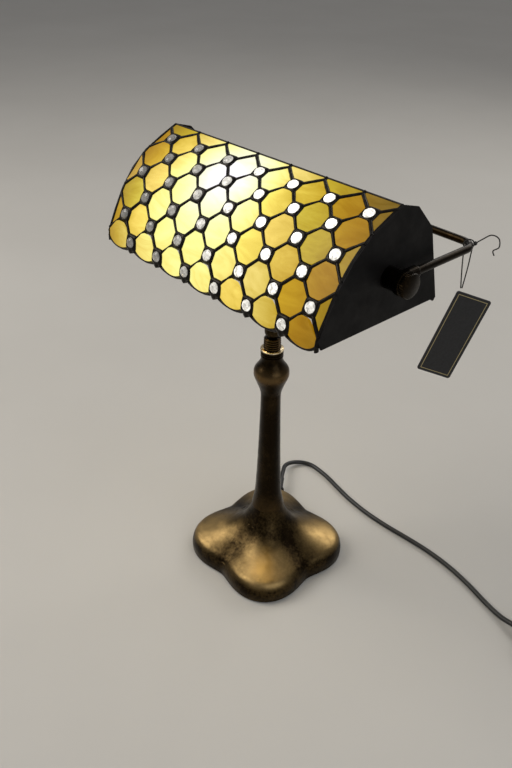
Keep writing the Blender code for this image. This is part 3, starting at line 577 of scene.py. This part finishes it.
def make_cord():
    low, high = node_box("switch_top")
    switch_y = (low.y + high.y) / 2
    entry_z = 8.0
    coil_low, coil_high = node_box("cord_coil")
    center = (coil_low + coil_high) / 2
    base_z = coil_low.z + CORD_D / 2
    start = CORD_OUT * CORD_START + Vector((0, 0, CORD_Z))
    plug_low, plug_high = node_box("plug_body")
    plug = (plug_low + plug_high) / 2
    beside = center.y - COIL_LOW[0]
    route = first_bend(start) + [Vector(p) for p in ROUTE_TO_SWITCH]
    route += [Vector((low.x - 0.3, switch_y, entry_z)), Vector((low.x + 18.0, switch_y, entry_z)),
              Vector((high.x - 18.0, switch_y, entry_z))]
    route += s_bend(Vector((high.x + 0.3, switch_y, entry_z)), Vector((center.x - 6.0, beside, FLOOR)))
    route += coil_points(center, base_z)
    top = Vector((center.x, center.y + COIL_HIGH[-1], base_z + 5.1))
    route += s_bend(top, Vector((plug_high.x, plug.y, plug.z)))
    line = smooth_route(route, 2.5)
    cord = finish_piece(wire("mains_cord", line, CORD_D / 2), "stand", "cord_pvc",
                        ("cord_to_switch", "cord_to_coil", "cord_coil", "cord_to_plug"))
    length = sum((b - a).length for a, b in zip(line, line[1:]))
    return cord, start, length


cord, cord_start, cord_length = make_cord()


# ---- base, column and neck ----
LOBE_R = 78.5
VALLEY_R = 62.0
LOBE_POWER = 0.8
BASE_WALL = 3.2
BASE_SECTIONS = [(0.0, 0.0, 0.0), (0.11, -0.004, -0.004), (0.20, 0.014, 0.022),
                 (0.265, 0.046, 0.072), (0.31, 0.098, 0.145), (0.35, 0.20, 0.26),
                 (0.405, 0.36, 0.415), (0.475, 0.535, 0.58), (0.56, 0.70, 0.73),
                 (0.67, 0.835, 0.85), (0.80, 0.925, 0.93), (0.92, 0.98, 0.98),
                 (1.0, 1.0, 1.0)]


def lobe_share(angle):
    """1 on the four diagonals, 0 half way between them."""
    return ((1.0 + math.cos(4.0 * (angle - math.pi / 4))) / 2.0) ** LOBE_POWER


def base_profile(angle, foot, top, top_radius):
    share = lobe_share(angle)
    edge = VALLEY_R + (LOBE_R - VALLEY_R) * share
    points = []
    for rise, lobe_run, valley_run in BASE_SECTIONS:
        run = valley_run + (lobe_run - valley_run) * share
        points.append((edge + (top_radius - edge) * run, foot + (top - foot) * rise))
    return round_profile(points, 1.6)


def make_base():
    low, high = node_box("base_casting")
    foot_radius = 15.9
    work = bmesh.new()
    layer = work.verts.layers.float.new("wear_and_painted_light")
    segments = 192
    count = 56
    rings = []
    for k in range(segments):
        angle = 2 * math.pi * k / segments
        outer = base_profile(angle, low.z, high.z, foot_radius)
        outer = [outer[round(i * (len(outer) - 1) / (count - 1))] for i in range(count)]
        inner = [(max(r - BASE_WALL, 8.0), z - BASE_WALL * 0.6 if 0 < i < count - 1 else z)
                 for i, (r, z) in enumerate(outer)][::-4]
        ring = []
        share = lobe_share(angle)
        for i, (r, z) in enumerate(outer + inner):
            vert = work.verts.new((r * math.cos(angle), r * math.sin(angle), z))
            climb = (z - low.z) / (high.z - low.z)
            # Painted highlight with rubbed wear: brighter on the upper slope of each lobe, where the lamp's
            # light is reflected; the rim below is not brightened.
            crest = share ** 1.6 * math.exp(-((climb - 0.38) / 0.15) ** 2)
            shoulder = smoothstep((climb - 0.19) / 0.09)
            vert[layer] = min(0.04 + 1.05 * crest * shoulder, 1.0) if i < count else 0.0
            ring.append(vert)
        rings.append(ring)
    join_rings(work, rings)
    finish_piece(bake("base_shell", work, 60.0), "stand", "bronze", ("base_casting",))


def make_column():
    low, high = node_box("column")
    _, base_top = node_box("base_casting")
    bottom = base_top.z + 0.3
    span = high.z - base_top.z
    waist, bulge, top_r = 9.5, 16.6, 10.0
    body = [(0.958, top_r - 0.1), (0.945, top_r + 0.3), (0.925, top_r + 2.0), (0.894, bulge - 0.8),
            (0.868, bulge), (0.848, bulge - 0.5), (0.823, bulge - 2.3), (0.782, waist + 1.9),
            (0.76, waist + 0.7), (0.735, waist), (0.64, waist + 0.2), (0.485, waist + 0.9),
            (0.31, waist + 1.9), (0.175, waist + 2.9), (0.078, waist + 4.2), (0.0, waist + 6.9)]
    line = [(top_r - 2.0, high.z), (top_r + 0.2, high.z)]
    for ring in range(3):
        level = high.z - 0.6 - ring * 2.2
        line += [(top_r + 0.5, level), (top_r + 0.5, level - 1.2), (top_r - 0.15, level - 1.5),
                 (top_r - 0.15, level - 1.9)]
    line += round_profile([(r, base_top.z + share * span) for share, r in body], 1.5)
    line += [(waist + 6.9, bottom), (waist + 2.8, bottom), (waist + 2.8, low.z)]
    wear_and_painted_light = []
    for _, height in line:
        share = (height - base_top.z) / span
        # Painted highlight with wear on the swelling under the shade, and painted light at the column's foot.
        swell = math.exp(-((share - 0.87) / 0.035) ** 2)
        foot_glow = math.exp(-(share / 0.07) ** 2)
        wear_and_painted_light.append(min(0.02 + 0.80 * swell + 0.3 * foot_glow, 1.0))
    finish_piece(lathe("column_shell", line, 96, wear_and_painted_light=wear_and_painted_light, smooth=32.0), "stand", "dark_bronze", ("column",))

    neck_low, neck_high = node_box("ribbed_neck")
    ribs = 5
    pitch = (neck_high.z - neck_low.z) / ribs
    line = []
    for k in range(ribs * 10 + 1):
        t = k / 10
        flare = 0.35 * (ribs - t) / ribs
        groove = abs(math.cos(math.pi * t)) ** 2.2
        line.append((7.75 - 1.15 * groove + flare, neck_low.z + t * pitch))
    wear_and_painted_light = [0.75 * (1.0 - abs(math.cos(math.pi * k / 10)) ** 0.8) for k in range(ribs * 10 + 1)]
    finish_piece(lathe("neck_rings", line, 72, wear_and_painted_light=wear_and_painted_light, smooth=60.0), "stand", "dark_bronze",
                 ("ribbed_neck",))

    washer_low, washer_high = node_box("neck_washer")
    edge = washer_high.x
    rim = [(5.6, washer_high.z), (edge - 0.5, washer_high.z), (edge - 0.1, washer_high.z - 0.25),
           (edge, washer_high.z - 0.75), (edge - 0.1, washer_low.z + 0.25), (edge - 0.5, washer_low.z),
           (5.6, washer_low.z)]
    finish_piece(lathe("neck_rim", rim, 72, smooth=50.0), "stand", "bright_brass", ("neck_washer",))


def make_ball():
    low, high = node_box("swivel_ball")
    radius = high.x
    middle = high.z - radius
    start = math.asin((low.z - middle) / radius)
    line = [(radius * math.cos(a), middle + radius * math.sin(a))
            for a in (start + (math.pi / 2 * 0.99 - start) * k / 28 for k in range(29))]
    finish_piece(lathe("ball_knuckle", line, 64), "yoke", "bronze", ("swivel_ball",))


make_base()
make_column()
make_ball()


# ---- yoke ----
def arc(center, radius, start, end, count, plane):
    """Points on an arc; plane gives the two unit directions of its angle."""
    across, up = (Vector(v) for v in plane)
    return [Vector(center) + radius * (math.cos(a) * across + math.sin(a) * up)
            for a in (math.radians(start + (end - start) * k / count) for k in range(count + 1))]


def make_yoke():
    low, high = node_box("yoke_tube")
    rod = (high.z - low.z) / 2
    level = (high.z + low.z) / 2
    back = high.y - rod
    reach = high.x - rod
    bend = 13.0
    right = arc((reach - bend, back - bend, level), bend, 0, 90, 24, ((1, 0, 0), (0, 1, 0)))
    left = [Vector((-p.x, p.y, p.z)) for p in reversed(right)]
    route = [Vector((reach, low.y, level))] + right + left + [Vector((-reach, low.y, level))]
    finish_piece(wire("yoke_bar", route, rod, 10), "yoke", "dark_bronze", ("yoke_tube",))

    stem_low, stem_high = node_box("stem")
    foot = stem_low.z + rod
    sweep = 55.0
    curve = arc((0, back - sweep, foot + sweep), sweep, -90, 0, 32, ((0, 1, 0), (0, 0, 1)))
    route = [Vector((0, stem_low.y, foot))] + curve + [Vector((0, back, stem_high.z))]
    finish_piece(wire("stem_bar", route, rod, 10), "yoke", "dark_bronze", ("stem",))


def make_knobs():
    """Knurled thumb knobs on the ends of the tilt axis."""
    for side, sign in (("left", -1), ("right", 1)):
        low, high = node_box(side + "_thumb_knob")
        middle = (low + high) / 2
        radius = (high.z - low.z) / 2
        length = high.x - low.x
        start = low.x if sign > 0 else high.x
        line = [(5.4, 0.0), (radius - 0.5, 0.0), (radius, 0.6), (radius, 4.4), (radius - 0.9, 5.0),
                (radius - 0.9, 5.6), (radius, 6.2), (radius, length - 1.8), (radius - 0.6, length - 1.2),
                (radius - 3.0, length - 0.5), (1.6, length)]
        knob = lathe(side + "_knurled_knob", line, 144, at=(start, middle.y, middle.z), axis=(sign, 0, 0),
                     smooth=35.0, flutes=36, depth=0.45, fluted=(0.55, length - 1.7))
        finish_piece(knob, side + "_knob", "dark_bronze", (side + "_thumb_knob",))


make_yoke()
make_knobs()


# ---- leaded shade ----
FRONT = [(-80.5, 340.5), (-72.0, 358.5), (-62.5, 376.0), (-50.5, 391.5), (-36.0, 404.0),
         (-19.0, 413.0), (-2.8, 420.5)]
BACK = [(-2.8, 420.0), (13.0, 412.0), (33.0, 395.0), (50.0, 333.0)]
PITCH = 37.7                    # along the lamp, from jewel to jewel
ROW = 19.3                      # up the face, from row to row
RIDGE = 6                       # row number of the ridge
GLASS_T = 3.0
JEWEL_R = 4.6
CORNER_CUT = 6.3                # from a jewel's middle to the glass beside it
LEAD_HALF = 1.4                 # half the gap between two pieces of glass
SCALLOP = 9.3                   # how far the lowest pieces hang below their row
END_SPREAD = 16.0               # half width of the curve under the outermost pieces
FRONT_KNOTS = [Vector((FRONT[0][0], FRONT[0][1] - ROW))] + [Vector(p) for p in FRONT]

rng = random.Random(11)
GLASS_END = node_box("right_end_cap")[0].x - 1.2      # where the glass stops short of the cap


def face(u, s):
    """A point of the shade's face, u along the lamp and s in rows, its outward normal and upward slope."""
    i = min(max(int(math.floor(s + 1)), 0), len(FRONT_KNOTS) - 2)
    t = s + 1 - i
    b, c = FRONT_KNOTS[i], FRONT_KNOTS[i + 1]
    a = FRONT_KNOTS[i - 1] if i > 0 else 2 * b - c
    d = FRONT_KNOTS[i + 2] if i + 2 < len(FRONT_KNOTS) else 2 * c - b
    p = spline(a, b, c, d, t)
    slope = 0.5 * ((c - a) + 2 * (2 * a - 5 * b + 4 * c - d) * t + 3 * (3 * b - a - 3 * c + d) * t * t)
    along = slope.normalized()
    return Vector((u, p.x, p.y)), Vector((0.0, -along.y, along.x)), Vector((0.0, slope.x, slope.y))


def clipped(outline, a, b, limit):
    """The part of a convex outline where a*x + b*y is at most limit."""
    kept = []
    for p, q in zip(outline, outline[1:] + outline[:1]):
        here, there = (a * v[0] + b * v[1] - limit for v in (p, q))
        if here <= 0:
            kept.append(p)
        if here * there < 0:
            t = here / (here - there)
            kept.append((p[0] + (q[0] - p[0]) * t, p[1] + (q[1] - p[1]) * t))
    return kept


def rounded(outline, cut=1.3):
    """Soften the corners of a convex outline."""
    points = [Vector(p) for p in outline]
    soft = []
    for before, here, after in zip(points[-1:] + points[:-1], points, points[1:] + points[:1]):
        back_way, on_way = before - here, after - here
        if min(back_way.length, on_way.length) < 0.05:
            continue
        start = here + back_way.normalized() * min(cut, back_way.length * 0.4)
        end = here + on_way.normalized() * min(cut, on_way.length * 0.4)
        soft += [start, (start + end + 1.2 * here) / 3.2, end]
    return [(p.x, p.y) for p in soft]


def piece_outline(row, column_u, outermost):
    """One piece of glass about the crossing of its row and column: a diamond with its corners cut off."""
    half = PITCH / 2
    reach_u, reach_s = half - CORNER_CUT + 0.15, ROW - CORNER_CUT
    diamond = 1.0 - LEAD_HALF / (half * ROW / math.hypot(half, ROW))
    rise = ROW * (diamond - reach_u / half)
    foot = half * (diamond - reach_s / ROW)
    outline = [(-half, -ROW), (half, -ROW), (half, ROW), (-half, ROW)]
    if row == RIDGE:                        # upper half missing, sides cut by short leads
        run, climb = half - LEAD_HALF - foot, reach_s - 2.6
        for way in (1, -1):
            outline = clipped(outline, way * climb, -run, climb * foot + run * reach_s)
        outline = clipped(outline, 0, 1, -1.1)
    elif row == RIDGE - 1:                  # pointed towards the ridge
        tip = ROW - 3.8
        for way in (1, -1):
            outline = clipped(outline, way * (tip - rise), reach_u, tip * reach_u)
    else:
        for way in (1, -1):
            outline = clipped(outline, way / half, 1 / ROW, diamond)
        outline = clipped(outline, 0, 1, reach_s)
    if row == 0:                            # rounded below, wider towards the ends of the shade
        for k in range(13):
            angle = math.radians(186 + 14 * k)
            outer = outermost and math.cos(angle) * column_u > 0
            spread = END_SPREAD if outer else 15.0
            outline = clipped(outline, math.cos(angle) / spread, math.sin(angle) / SCALLOP, 1.0)
    else:
        for way in (1, -1):
            if row < RIDGE:
                outline = clipped(outline, way / half, -1 / ROW, diamond)
        outline = clipped(outline, 0, -1, reach_s)
    for way in (1, -1):
        limit = half - LEAD_HALF if row == RIDGE or (outermost and way * column_u > 0) else reach_u
        outline = clipped(outline, way, 0, min(limit, GLASS_END - way * column_u))
    return rounded(outline)


# Sheets that the pieces are cut from: how much light each passes, and its cast.
SHEETS = {"L": (1.0, (1.0, 1.0, 1.0)),           # lemon
          "C": (1.0, (1.0, 0.99, 1.12)),         # cream
          "P": (0.98, (1.0, 0.92, 0.68)),        # peach
          "Y": (0.95, (1.0, 0.96, 0.60)),        # yellow
          "O": (0.86, (1.0, 0.88, 0.42)),        # ochre
          "G": (0.90, (0.94, 1.0, 0.60)),        # olive
          "D": (0.55, (1.0, 0.96, 0.80))}        # dull
# The sheet of each piece on the front, left to right, a string for each row from the bottom up.
FRONT_SHEETS = ["CLLLPCO", "PPLLLCOG", "GLLLYPO", "PPLLLPGG", "OLCLYGO", "OPCCLYOD", "GCCCCGD"]


def columns(row, jewels):
    """Positions along the lamp of a row's jewels or of its pieces of glass."""
    on_whole = (row % 2 == 1) == jewels
    if on_whole:
        return [k * PITCH for k in range(-3, 4)]
    outer = 3 if jewels else 4
    return [(k + 0.5) * PITCH for k in range(-outer, outer)]


def add_plate(work, layer, corners, normal, sheet):
    """One flat piece of glass with its outer corners a little below the face of the shade."""
    passed, cast = SHEETS[sheet]
    depth = rng.uniform(0.94, 1.06)
    loops = []
    for lift in (-0.25, -GLASS_T + 0.25):
        loop = [work.verts.new(corner + normal * lift) for corner in corners]
        for vert in loop:
            vert[layer] = (*cast, passed * depth)
        loops.append(loop)
    top, bottom = loops
    work.faces.new(top)
    work.faces.new(bottom[::-1])
    for k in range(len(top)):
        j = (k + 1) % len(top)
        work.faces.new((top[k], bottom[k], bottom[j], top[j]))


def make_front_glass():
    """A row of cut pieces about each row of the face."""
    for row, sheets in enumerate(FRONT_SHEETS):
        work = bmesh.new()
        layer = work.verts.layers.float_color.new("tint")
        spots = columns(row, False)
        for u, sheet in zip(spots, sheets):
            outline = piece_outline(row, u, abs(u) == max(spots))
            middle = sum(p[1] for p in outline) / len(outline)
            center, normal, slope = face(u, row + middle / ROW)
            corners = [center + Vector((x, 0, 0)) + slope * (y - middle) / ROW for x, y in outline]
            add_plate(work, layer, corners, normal, sheet)
        finish_piece(bake(f"front_glass_{row + 1}", work, 30.0), "shade", "opal_glass",
                     (f"glass_row_{row + 1}",))


def sweep_bead(work, centers, half_width, crown):
    """A rounded bead of solder along centers of (point, normal), proud of the glass inside and outside."""
    sides = 12
    loops = []
    for i, (center, normal) in enumerate(centers):
        before = centers[max(i - 1, 0)][0]
        after = centers[min(i + 1, len(centers) - 1)][0]
        across = (after - before).normalized().cross(normal).normalized()
        wobble = 1.0 + rng.uniform(-0.08, 0.08)
        loop = []
        for k in range(sides):
            angle = 2 * math.pi * k / sides
            out = math.sin(angle) * (GLASS_T / 2 + crown * wobble)
            loop.append(center - normal * (GLASS_T / 2) + across * math.cos(angle) * half_width * wobble
                        + normal * out)
        loops.append(loop)
    loft(work, loops)


def bead(work, places, half_width=1.8, crown=1.1):
    """A bead along (u, s) places on the face."""
    sweep_bead(work, [face(u, s)[:2] for u, s in places], half_width, crown)


def straight(u0, s0, u1, s1, count=8):
    return [(u0 + (u1 - u0) * k / count, s0 + (s1 - s0) * k / count) for k in range(count + 1)]


def clip_ends(u0, s0, u1, s1, limit):
    """Shorten a lead that would run past the end of the shade."""
    if abs(u1) <= limit:
        return u1, s1
    t = (math.copysign(limit, u1) - u0) / (u1 - u0)
    return u0 + (u1 - u0) * t, s0 + (s1 - s0) * t


def add_setting(work, u, row):
    """A ring of solder round a jewel, filling the corners between the pieces of glass."""
    steps = 32
    center, normal, slope = face(u, row)
    up = slope.normalized()
    rings = []
    half = CORNER_CUT + 0.55 + rng.uniform(-0.2, 0.3)
    for k in range(steps):
        angle = 2 * math.pi * k / steps
        c, n = math.cos(angle), math.sin(angle)
        reach = half / (abs(c) ** 5 + abs(n) ** 5) ** 0.2
        if row == 0 and n < 0:
            reach = max(reach, 9.9 * (-n) ** 4)
        section = [(JEWEL_R - 0.5, 0.4), (JEWEL_R + 0.1, 1.25), (JEWEL_R + 0.9, 1.45), (reach * 0.86, 1.0),
                   (reach, 0.1), (reach, -GLASS_T - 0.05), (reach * 0.86, -GLASS_T - 0.8),
                   (JEWEL_R + 0.9, -GLASS_T - 1.1), (JEWEL_R - 0.35, -GLASS_T - 0.5)]
        way = Vector((c, 0, 0)) + up * n
        rings.append([work.verts.new(center + way * r + normal * h) for r, h in section])
    join_rings(work, rings)


def make_solder():
    """A lead between every two pieces of glass and a ring round every jewel."""
    work = bmesh.new()
    work.verts.layers.float.new("wear_and_painted_light")
    limit = GLASS_END + 0.8
    for row in range(RIDGE):
        for u in columns(row, True):
            add_setting(work, u, row)
            for way in (1, -1):
                beside = u + way * PITCH / 2
                above = row + 1
                if above == RIDGE:
                    above -= 3.2 / ROW
                    if abs(beside) <= limit and (way == 1 or u == -3 * PITCH):
                        bead(work, straight(beside, above - 0.05, beside, RIDGE, 3))
                bead(work, straight(u, row, *clip_ends(u, row, beside, above, limit)))
                if row > 0 and abs(beside) > limit:
                    bead(work, straight(u, row, *clip_ends(u, row, beside, row - 1, limit)))
    finish_piece(bake("solder_web", work, 60.0), "shade", "lead")


def make_cames():
    """Scalloped bead under the front edge, straight beads on the ridge and along the caps."""
    limit = GLASS_END + 0.8
    work = bmesh.new()
    line = []
    steps = 170
    for k in range(steps + 1):
        u = -limit + 2 * limit * k / steps
        column = min(max(round(u / PITCH), -3), 3)
        x = u - column * PITCH
        spread = END_SPREAD if abs(column) == 3 and x * column > 0 else 21.0
        line.append((u, -(SCALLOP + 0.9) * math.sqrt(1.0 - (x / spread) ** 2) / ROW))
    bead(work, line, 1.35, 0.7)
    finish_piece(bake("scalloped_came", work, 60.0), "shade", "lead", ("front_came",))

    work = bmesh.new()
    count = 60
    bead(work, straight(-limit, RIDGE - 0.01, limit, RIDGE - 0.01, count), 1.1, 0.35)
    finish_piece(bake("ridge_bead", work, 60.0), "shade", "lead", ("ridge_came",))

    work = bmesh.new()
    for sign in (1, -1):
        u = sign * (GLASS_END + 0.4)
        bead(work, straight(u, -0.42, u, RIDGE, 44), 1.3, 0.6)
        for low, high in zip(BACK, BACK[1:]):
            back_bead(work, u, low, u, high, 1.3)
    finish_piece(bake("cap_beads", work, 60.0), "shade", "lead")


def make_jewels():
    """Round cut stones: a flat table, two rings of facets and a pointed back."""
    work = bmesh.new()
    facets = 9
    levels = [(2.0, 3.0, 0.0), (3.7, 2.2, 0.5), (JEWEL_R, 0.9, 0.0), (JEWEL_R, 0.3, 0.0),
              (3.1, -1.9, 0.5), (0.6, -3.3, 0.0)]
    for row in range(RIDGE):
        for u in columns(row, True):
            center, normal, slope = face(u, row)
            up = slope.normalized()
            turn = rng.uniform(0, 2 * math.pi)
            stone = []
            for radius, height, offset in levels:
                for k in range(facets):
                    angle = turn + 2 * math.pi * (k + offset) / facets
                    way = Vector((math.cos(angle), 0, 0)) + up * math.sin(angle)
                    stone.append(work.verts.new(center + way * radius + normal * height))
            bmesh.ops.convex_hull(work, input=stone)
    finish_piece(bake("jewels", work, 12.0), "shade", "jewel_glass")


# ---- back of the shade: plain panels ----
PANELS = 7
BACK_SHEETS = ["PLCLCLO", "LCLPLCL", "OLPLCLG"]


def back_frame(low, high):
    """Outward normal of a flat band of the back, and its direction downwards."""
    down = Vector((0.0, high[0] - low[0], high[1] - low[1]))
    along = down.normalized()
    return Vector((0.0, -along.z, along.y)), along, down.length


def back_bead(work, u0, low, u1, high, half_width, crown=0.6):
    """A straight bead on the back, from (u, point of the outline) to another."""
    start, end = Vector((u0, *low)), Vector((u1, *high))
    normal = Vector((0.0, 0.3, 0.95)).normalized()
    if u0 == u1:
        normal = back_frame(low, high)[0]
    sweep_bead(work, [(start.lerp(end, k / 40), normal) for k in range(41)], half_width, crown)


def make_back():
    """Three bands of opal panels with straight leads, the pieces of each band set edge to edge."""
    step = 2 * (GLASS_END + 0.6) / PANELS
    work = bmesh.new()
    work.verts.layers.float.new("wear_and_painted_light")
    for band, (low, high) in enumerate(zip(BACK, BACK[1:])):
        normal, along, length = back_frame(low, high)
        glass = bmesh.new()
        layer = glass.verts.layers.float_color.new("tint")
        start = Vector((0.0, *low))
        for k, sheet in enumerate(BACK_SHEETS[band]):
            left = -GLASS_END - 0.6 + k * step + 0.7
            right = left + step - 1.4
            corners = [start + Vector((u, 0, 0)) + along * d
                       for u, d in ((left, 0.8), (right, 0.8), (right, length - 0.8), (left, length - 0.8))]
            add_plate(glass, layer, corners, normal, sheet)
            if k:
                seam = left - 0.7
                back_bead(work, seam, low, seam, high, 1.3)
        finish_piece(bake(f"back_panels_{band + 1}", glass, 30.0), "shade", "opal_glass",
                     (f"back_glass_{band + 1}",))
        if band:
            back_bead(work, -GLASS_END, low, GLASS_END, low, 1.6)
    finish_piece(bake("back_solder", work, 60.0), "shade", "lead")
    work = bmesh.new()
    back_bead(work, -GLASS_END - 0.8, BACK[-1], GLASS_END + 0.8, BACK[-1], 1.9)
    finish_piece(bake("back_edge_bead", work, 60.0), "shade", "lead", ("back_came",))


make_front_glass()
make_solder()
make_cames()
make_jewels()
make_back()


# ---- bulb ----
def make_bulb():
    low, high = node_box("bulb_globe")
    radius = (high.z - low.z) / 2
    center = Vector((high.x - radius, (low.y + high.y) / 2, (low.z + high.z) / 2))
    throat = math.asin(7.3 / radius)
    line = [(radius * math.sin(a), radius * math.cos(a))
            for a in (math.pi * 0.995 - (math.pi * 0.995 - throat) * k / 40 for k in range(41))]
    line += [(7.0, line[-1][1] + 0.9), (6.4, center.x - low.x)]
    finish_piece(lathe("bulb_envelope", line, 64, at=center, axis=(-1, 0, 0)), "shade", "bulb_glass",
                 ("bulb_globe",))

    low, high = node_box("bulb_cap")
    length = high.x - low.x
    threads = 5
    line = [(1.0, 0.0), (2.4, 0.1), (5.8, 3.6)]
    line += [(6.35 + 0.4 * math.sin(2 * math.pi * k / 8), 4.6 + (length - 8.0) * k / (threads * 8))
             for k in range(threads * 8 + 1)]
    line += [(6.8, length - 2.4), (7.4, length)]
    finish_piece(lathe("bulb_thread", line, 48, at=(low.x, (low.y + high.y) / 2, (low.z + high.z) / 2),
                       axis=(1, 0, 0)), "shade", "bright_brass", ("bulb_cap",))


make_bulb()


# ---- hang tag ----
TAG_HOLE_IN = 4.0               # the hole's distance from the two edges at its corner
THREAD_R = 0.5


def make_tag():
    low, high = node_box("tag_card")
    string_low, string_high = node_box("tag_string")
    center = (low + high) / 2
    lean = math.atan2(TAG_W / 2 - TAG_HOLE_IN, TAG_L / 2 - TAG_HOLE_IN)
    work = bmesh.new()
    corners = []
    radius = 2.0
    for sx, sz, start in ((1, 1, 0), (-1, 1, 90), (-1, -1, 180), (1, -1, 270)):
        for k in range(7):
            angle = math.radians(start + 15 * k)
            corners.append((sx * (TAG_W / 2 - radius) + radius * math.cos(angle),
                            sz * (TAG_L / 2 - radius) + radius * math.sin(angle)))
    thick = 0.35
    loft(work, [[Vector((x, y, z)) for x, z in corners] for y in (-thick, thick)])
    board = bake("tag_board", work, 30.0)
    board.matrix_world = (Matrix.Translation(center * MM) @ Matrix.Rotation(math.pi / 4, 4, "Z")
                          @ Matrix.Rotation(lean, 4, "Y"))
    finish_piece(board, "tag", "card", ("tag_card",))

    across = Vector((1, 1, 0)).normalized()
    loop_middle = (string_low + string_high) / 2
    hang = Vector((loop_middle.x, loop_middle.y, string_high.z - 4.2))
    knot = hang + Vector((3.4, 3.4, 1.0))
    foot = Vector((loop_middle.x, loop_middle.y, string_low.z))
    over = arc(hang, 4.1, -40, 215, 16, (across, Vector((0, 0, 1))))
    route = [foot + across * 0.5, foot.lerp(over[0], 0.5) + across * 0.6] + over
    route += [foot.lerp(over[-1], 0.5) - across * 0.5, foot - across * 0.5]
    finish_piece(wire("tag_cord", smooth_route(route, 0.8), THREAD_R, 4), "tag", "string_thread",
                 ("tag_string",))
    tail = [knot, knot + Vector((4, 3, 4)), knot + Vector((9, 6, 8)), knot + Vector((14, 9, 6)),
            knot + Vector((15, 10, -1)), knot + Vector((11, 9, -5)), knot + Vector((12, 10, -9))]
    finish_piece(wire("tag_tail", smooth_route(tail, 0.8), THREAD_R, 4), "tag", "string_thread")
    work = bmesh.new()
    bmesh.ops.create_icosphere(work, subdivisions=3, radius=1.5)
    for vert in work.verts:
        twist = 1.0 + 0.16 * math.sin(9.0 * math.atan2(vert.co.y, vert.co.x) + 3.0 * vert.co.z)
        vert.co = vert.co * twist + knot
    finish_piece(bake("tag_knot", work, 60.0), "tag", "string_thread")


make_tag()


# ---- carried-over CAD nodes ----
CARRIED = {
    "felt": ["felt_pad"],
    "iron": ["base_weight"],
    "steel": ["base_washer", "base_nut", "center_tube", "swivel_pin", "left_lock_nut", "right_lock_nut",
              "left_pivot_screw", "right_pivot_screw", "plug_pin_1", "plug_pin_2"],
    "black_plastic": ["cord_bushing", "switch_bottom", "switch_top", "switch_rocker", "coil_tie", "plug_body",
                      "lampholder_cap", "lampholder_shell"],
    "ceramic": ["lampholder_insulator"],
    "dark_bronze": ["yoke_tee", "left_yoke_eye", "right_yoke_eye", "left_spacer", "right_spacer",
                    "left_washer", "right_washer"],
    "black_metal": ["left_end_cap", "right_end_cap"],
}
for finish, names in CARRIED.items():
    for name in names:
        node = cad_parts[name]
        node.data.materials.clear()
        node.data.materials.append(MATERIALS[finish])


# ---- floor and light ----
def make_floor():
    bpy.ops.mesh.primitive_plane_add(size=16.0, location=(0, 0, 0))
    floor = bpy.context.object
    floor.name = "floor"
    r = Recipe("floor_paper", 0.7)
    r.feed(r.ramp(r.noise(3.0, 3.0), [(0.2, (0.56, 0.54, 0.50)), (0.8, (0.60, 0.58, 0.54))]), "Base Color")
    floor.data.materials.append(r.material)


def area_light(name, at, aim, size, power, color):
    data = bpy.data.lights.new(name, "AREA")
    data.shape = "RECTANGLE"
    data.size, data.size_y = size
    data.energy = power
    data.color = color
    light = bpy.data.objects.new(name, data)
    direction = Vector(aim) - Vector(at)
    turn = direction.to_track_quat("-Z", "Y").to_matrix().to_4x4()
    light.matrix_world = Matrix.Translation(Vector(at)) @ turn
    scene.collection.objects.link(light)


def make_light():
    area_light("key", (-1.1, -0.9, 1.5), (0, 0, 0.15), (1.2, 1.2), 20.0, (1.0, 0.96, 0.9))
    area_light("fill", (1.5, -0.2, 1.1), (0, 0, 0.2), (1.4, 1.4), 7.0, (0.92, 0.95, 1.0))
    area_light("back", (-0.2, 1.6, 1.3), (0, 0, 0.25), (1.6, 0.8), 9.0, (1.0, 0.97, 0.92))
    world = bpy.data.worlds.new("studio")
    world.use_nodes = True
    world.node_tree.nodes["Background"].inputs["Color"].default_value = (0.55, 0.55, 0.56, 1.0)
    world.node_tree.nodes["Background"].inputs["Strength"].default_value = 0.45
    scene.world = world


make_floor()
make_light()
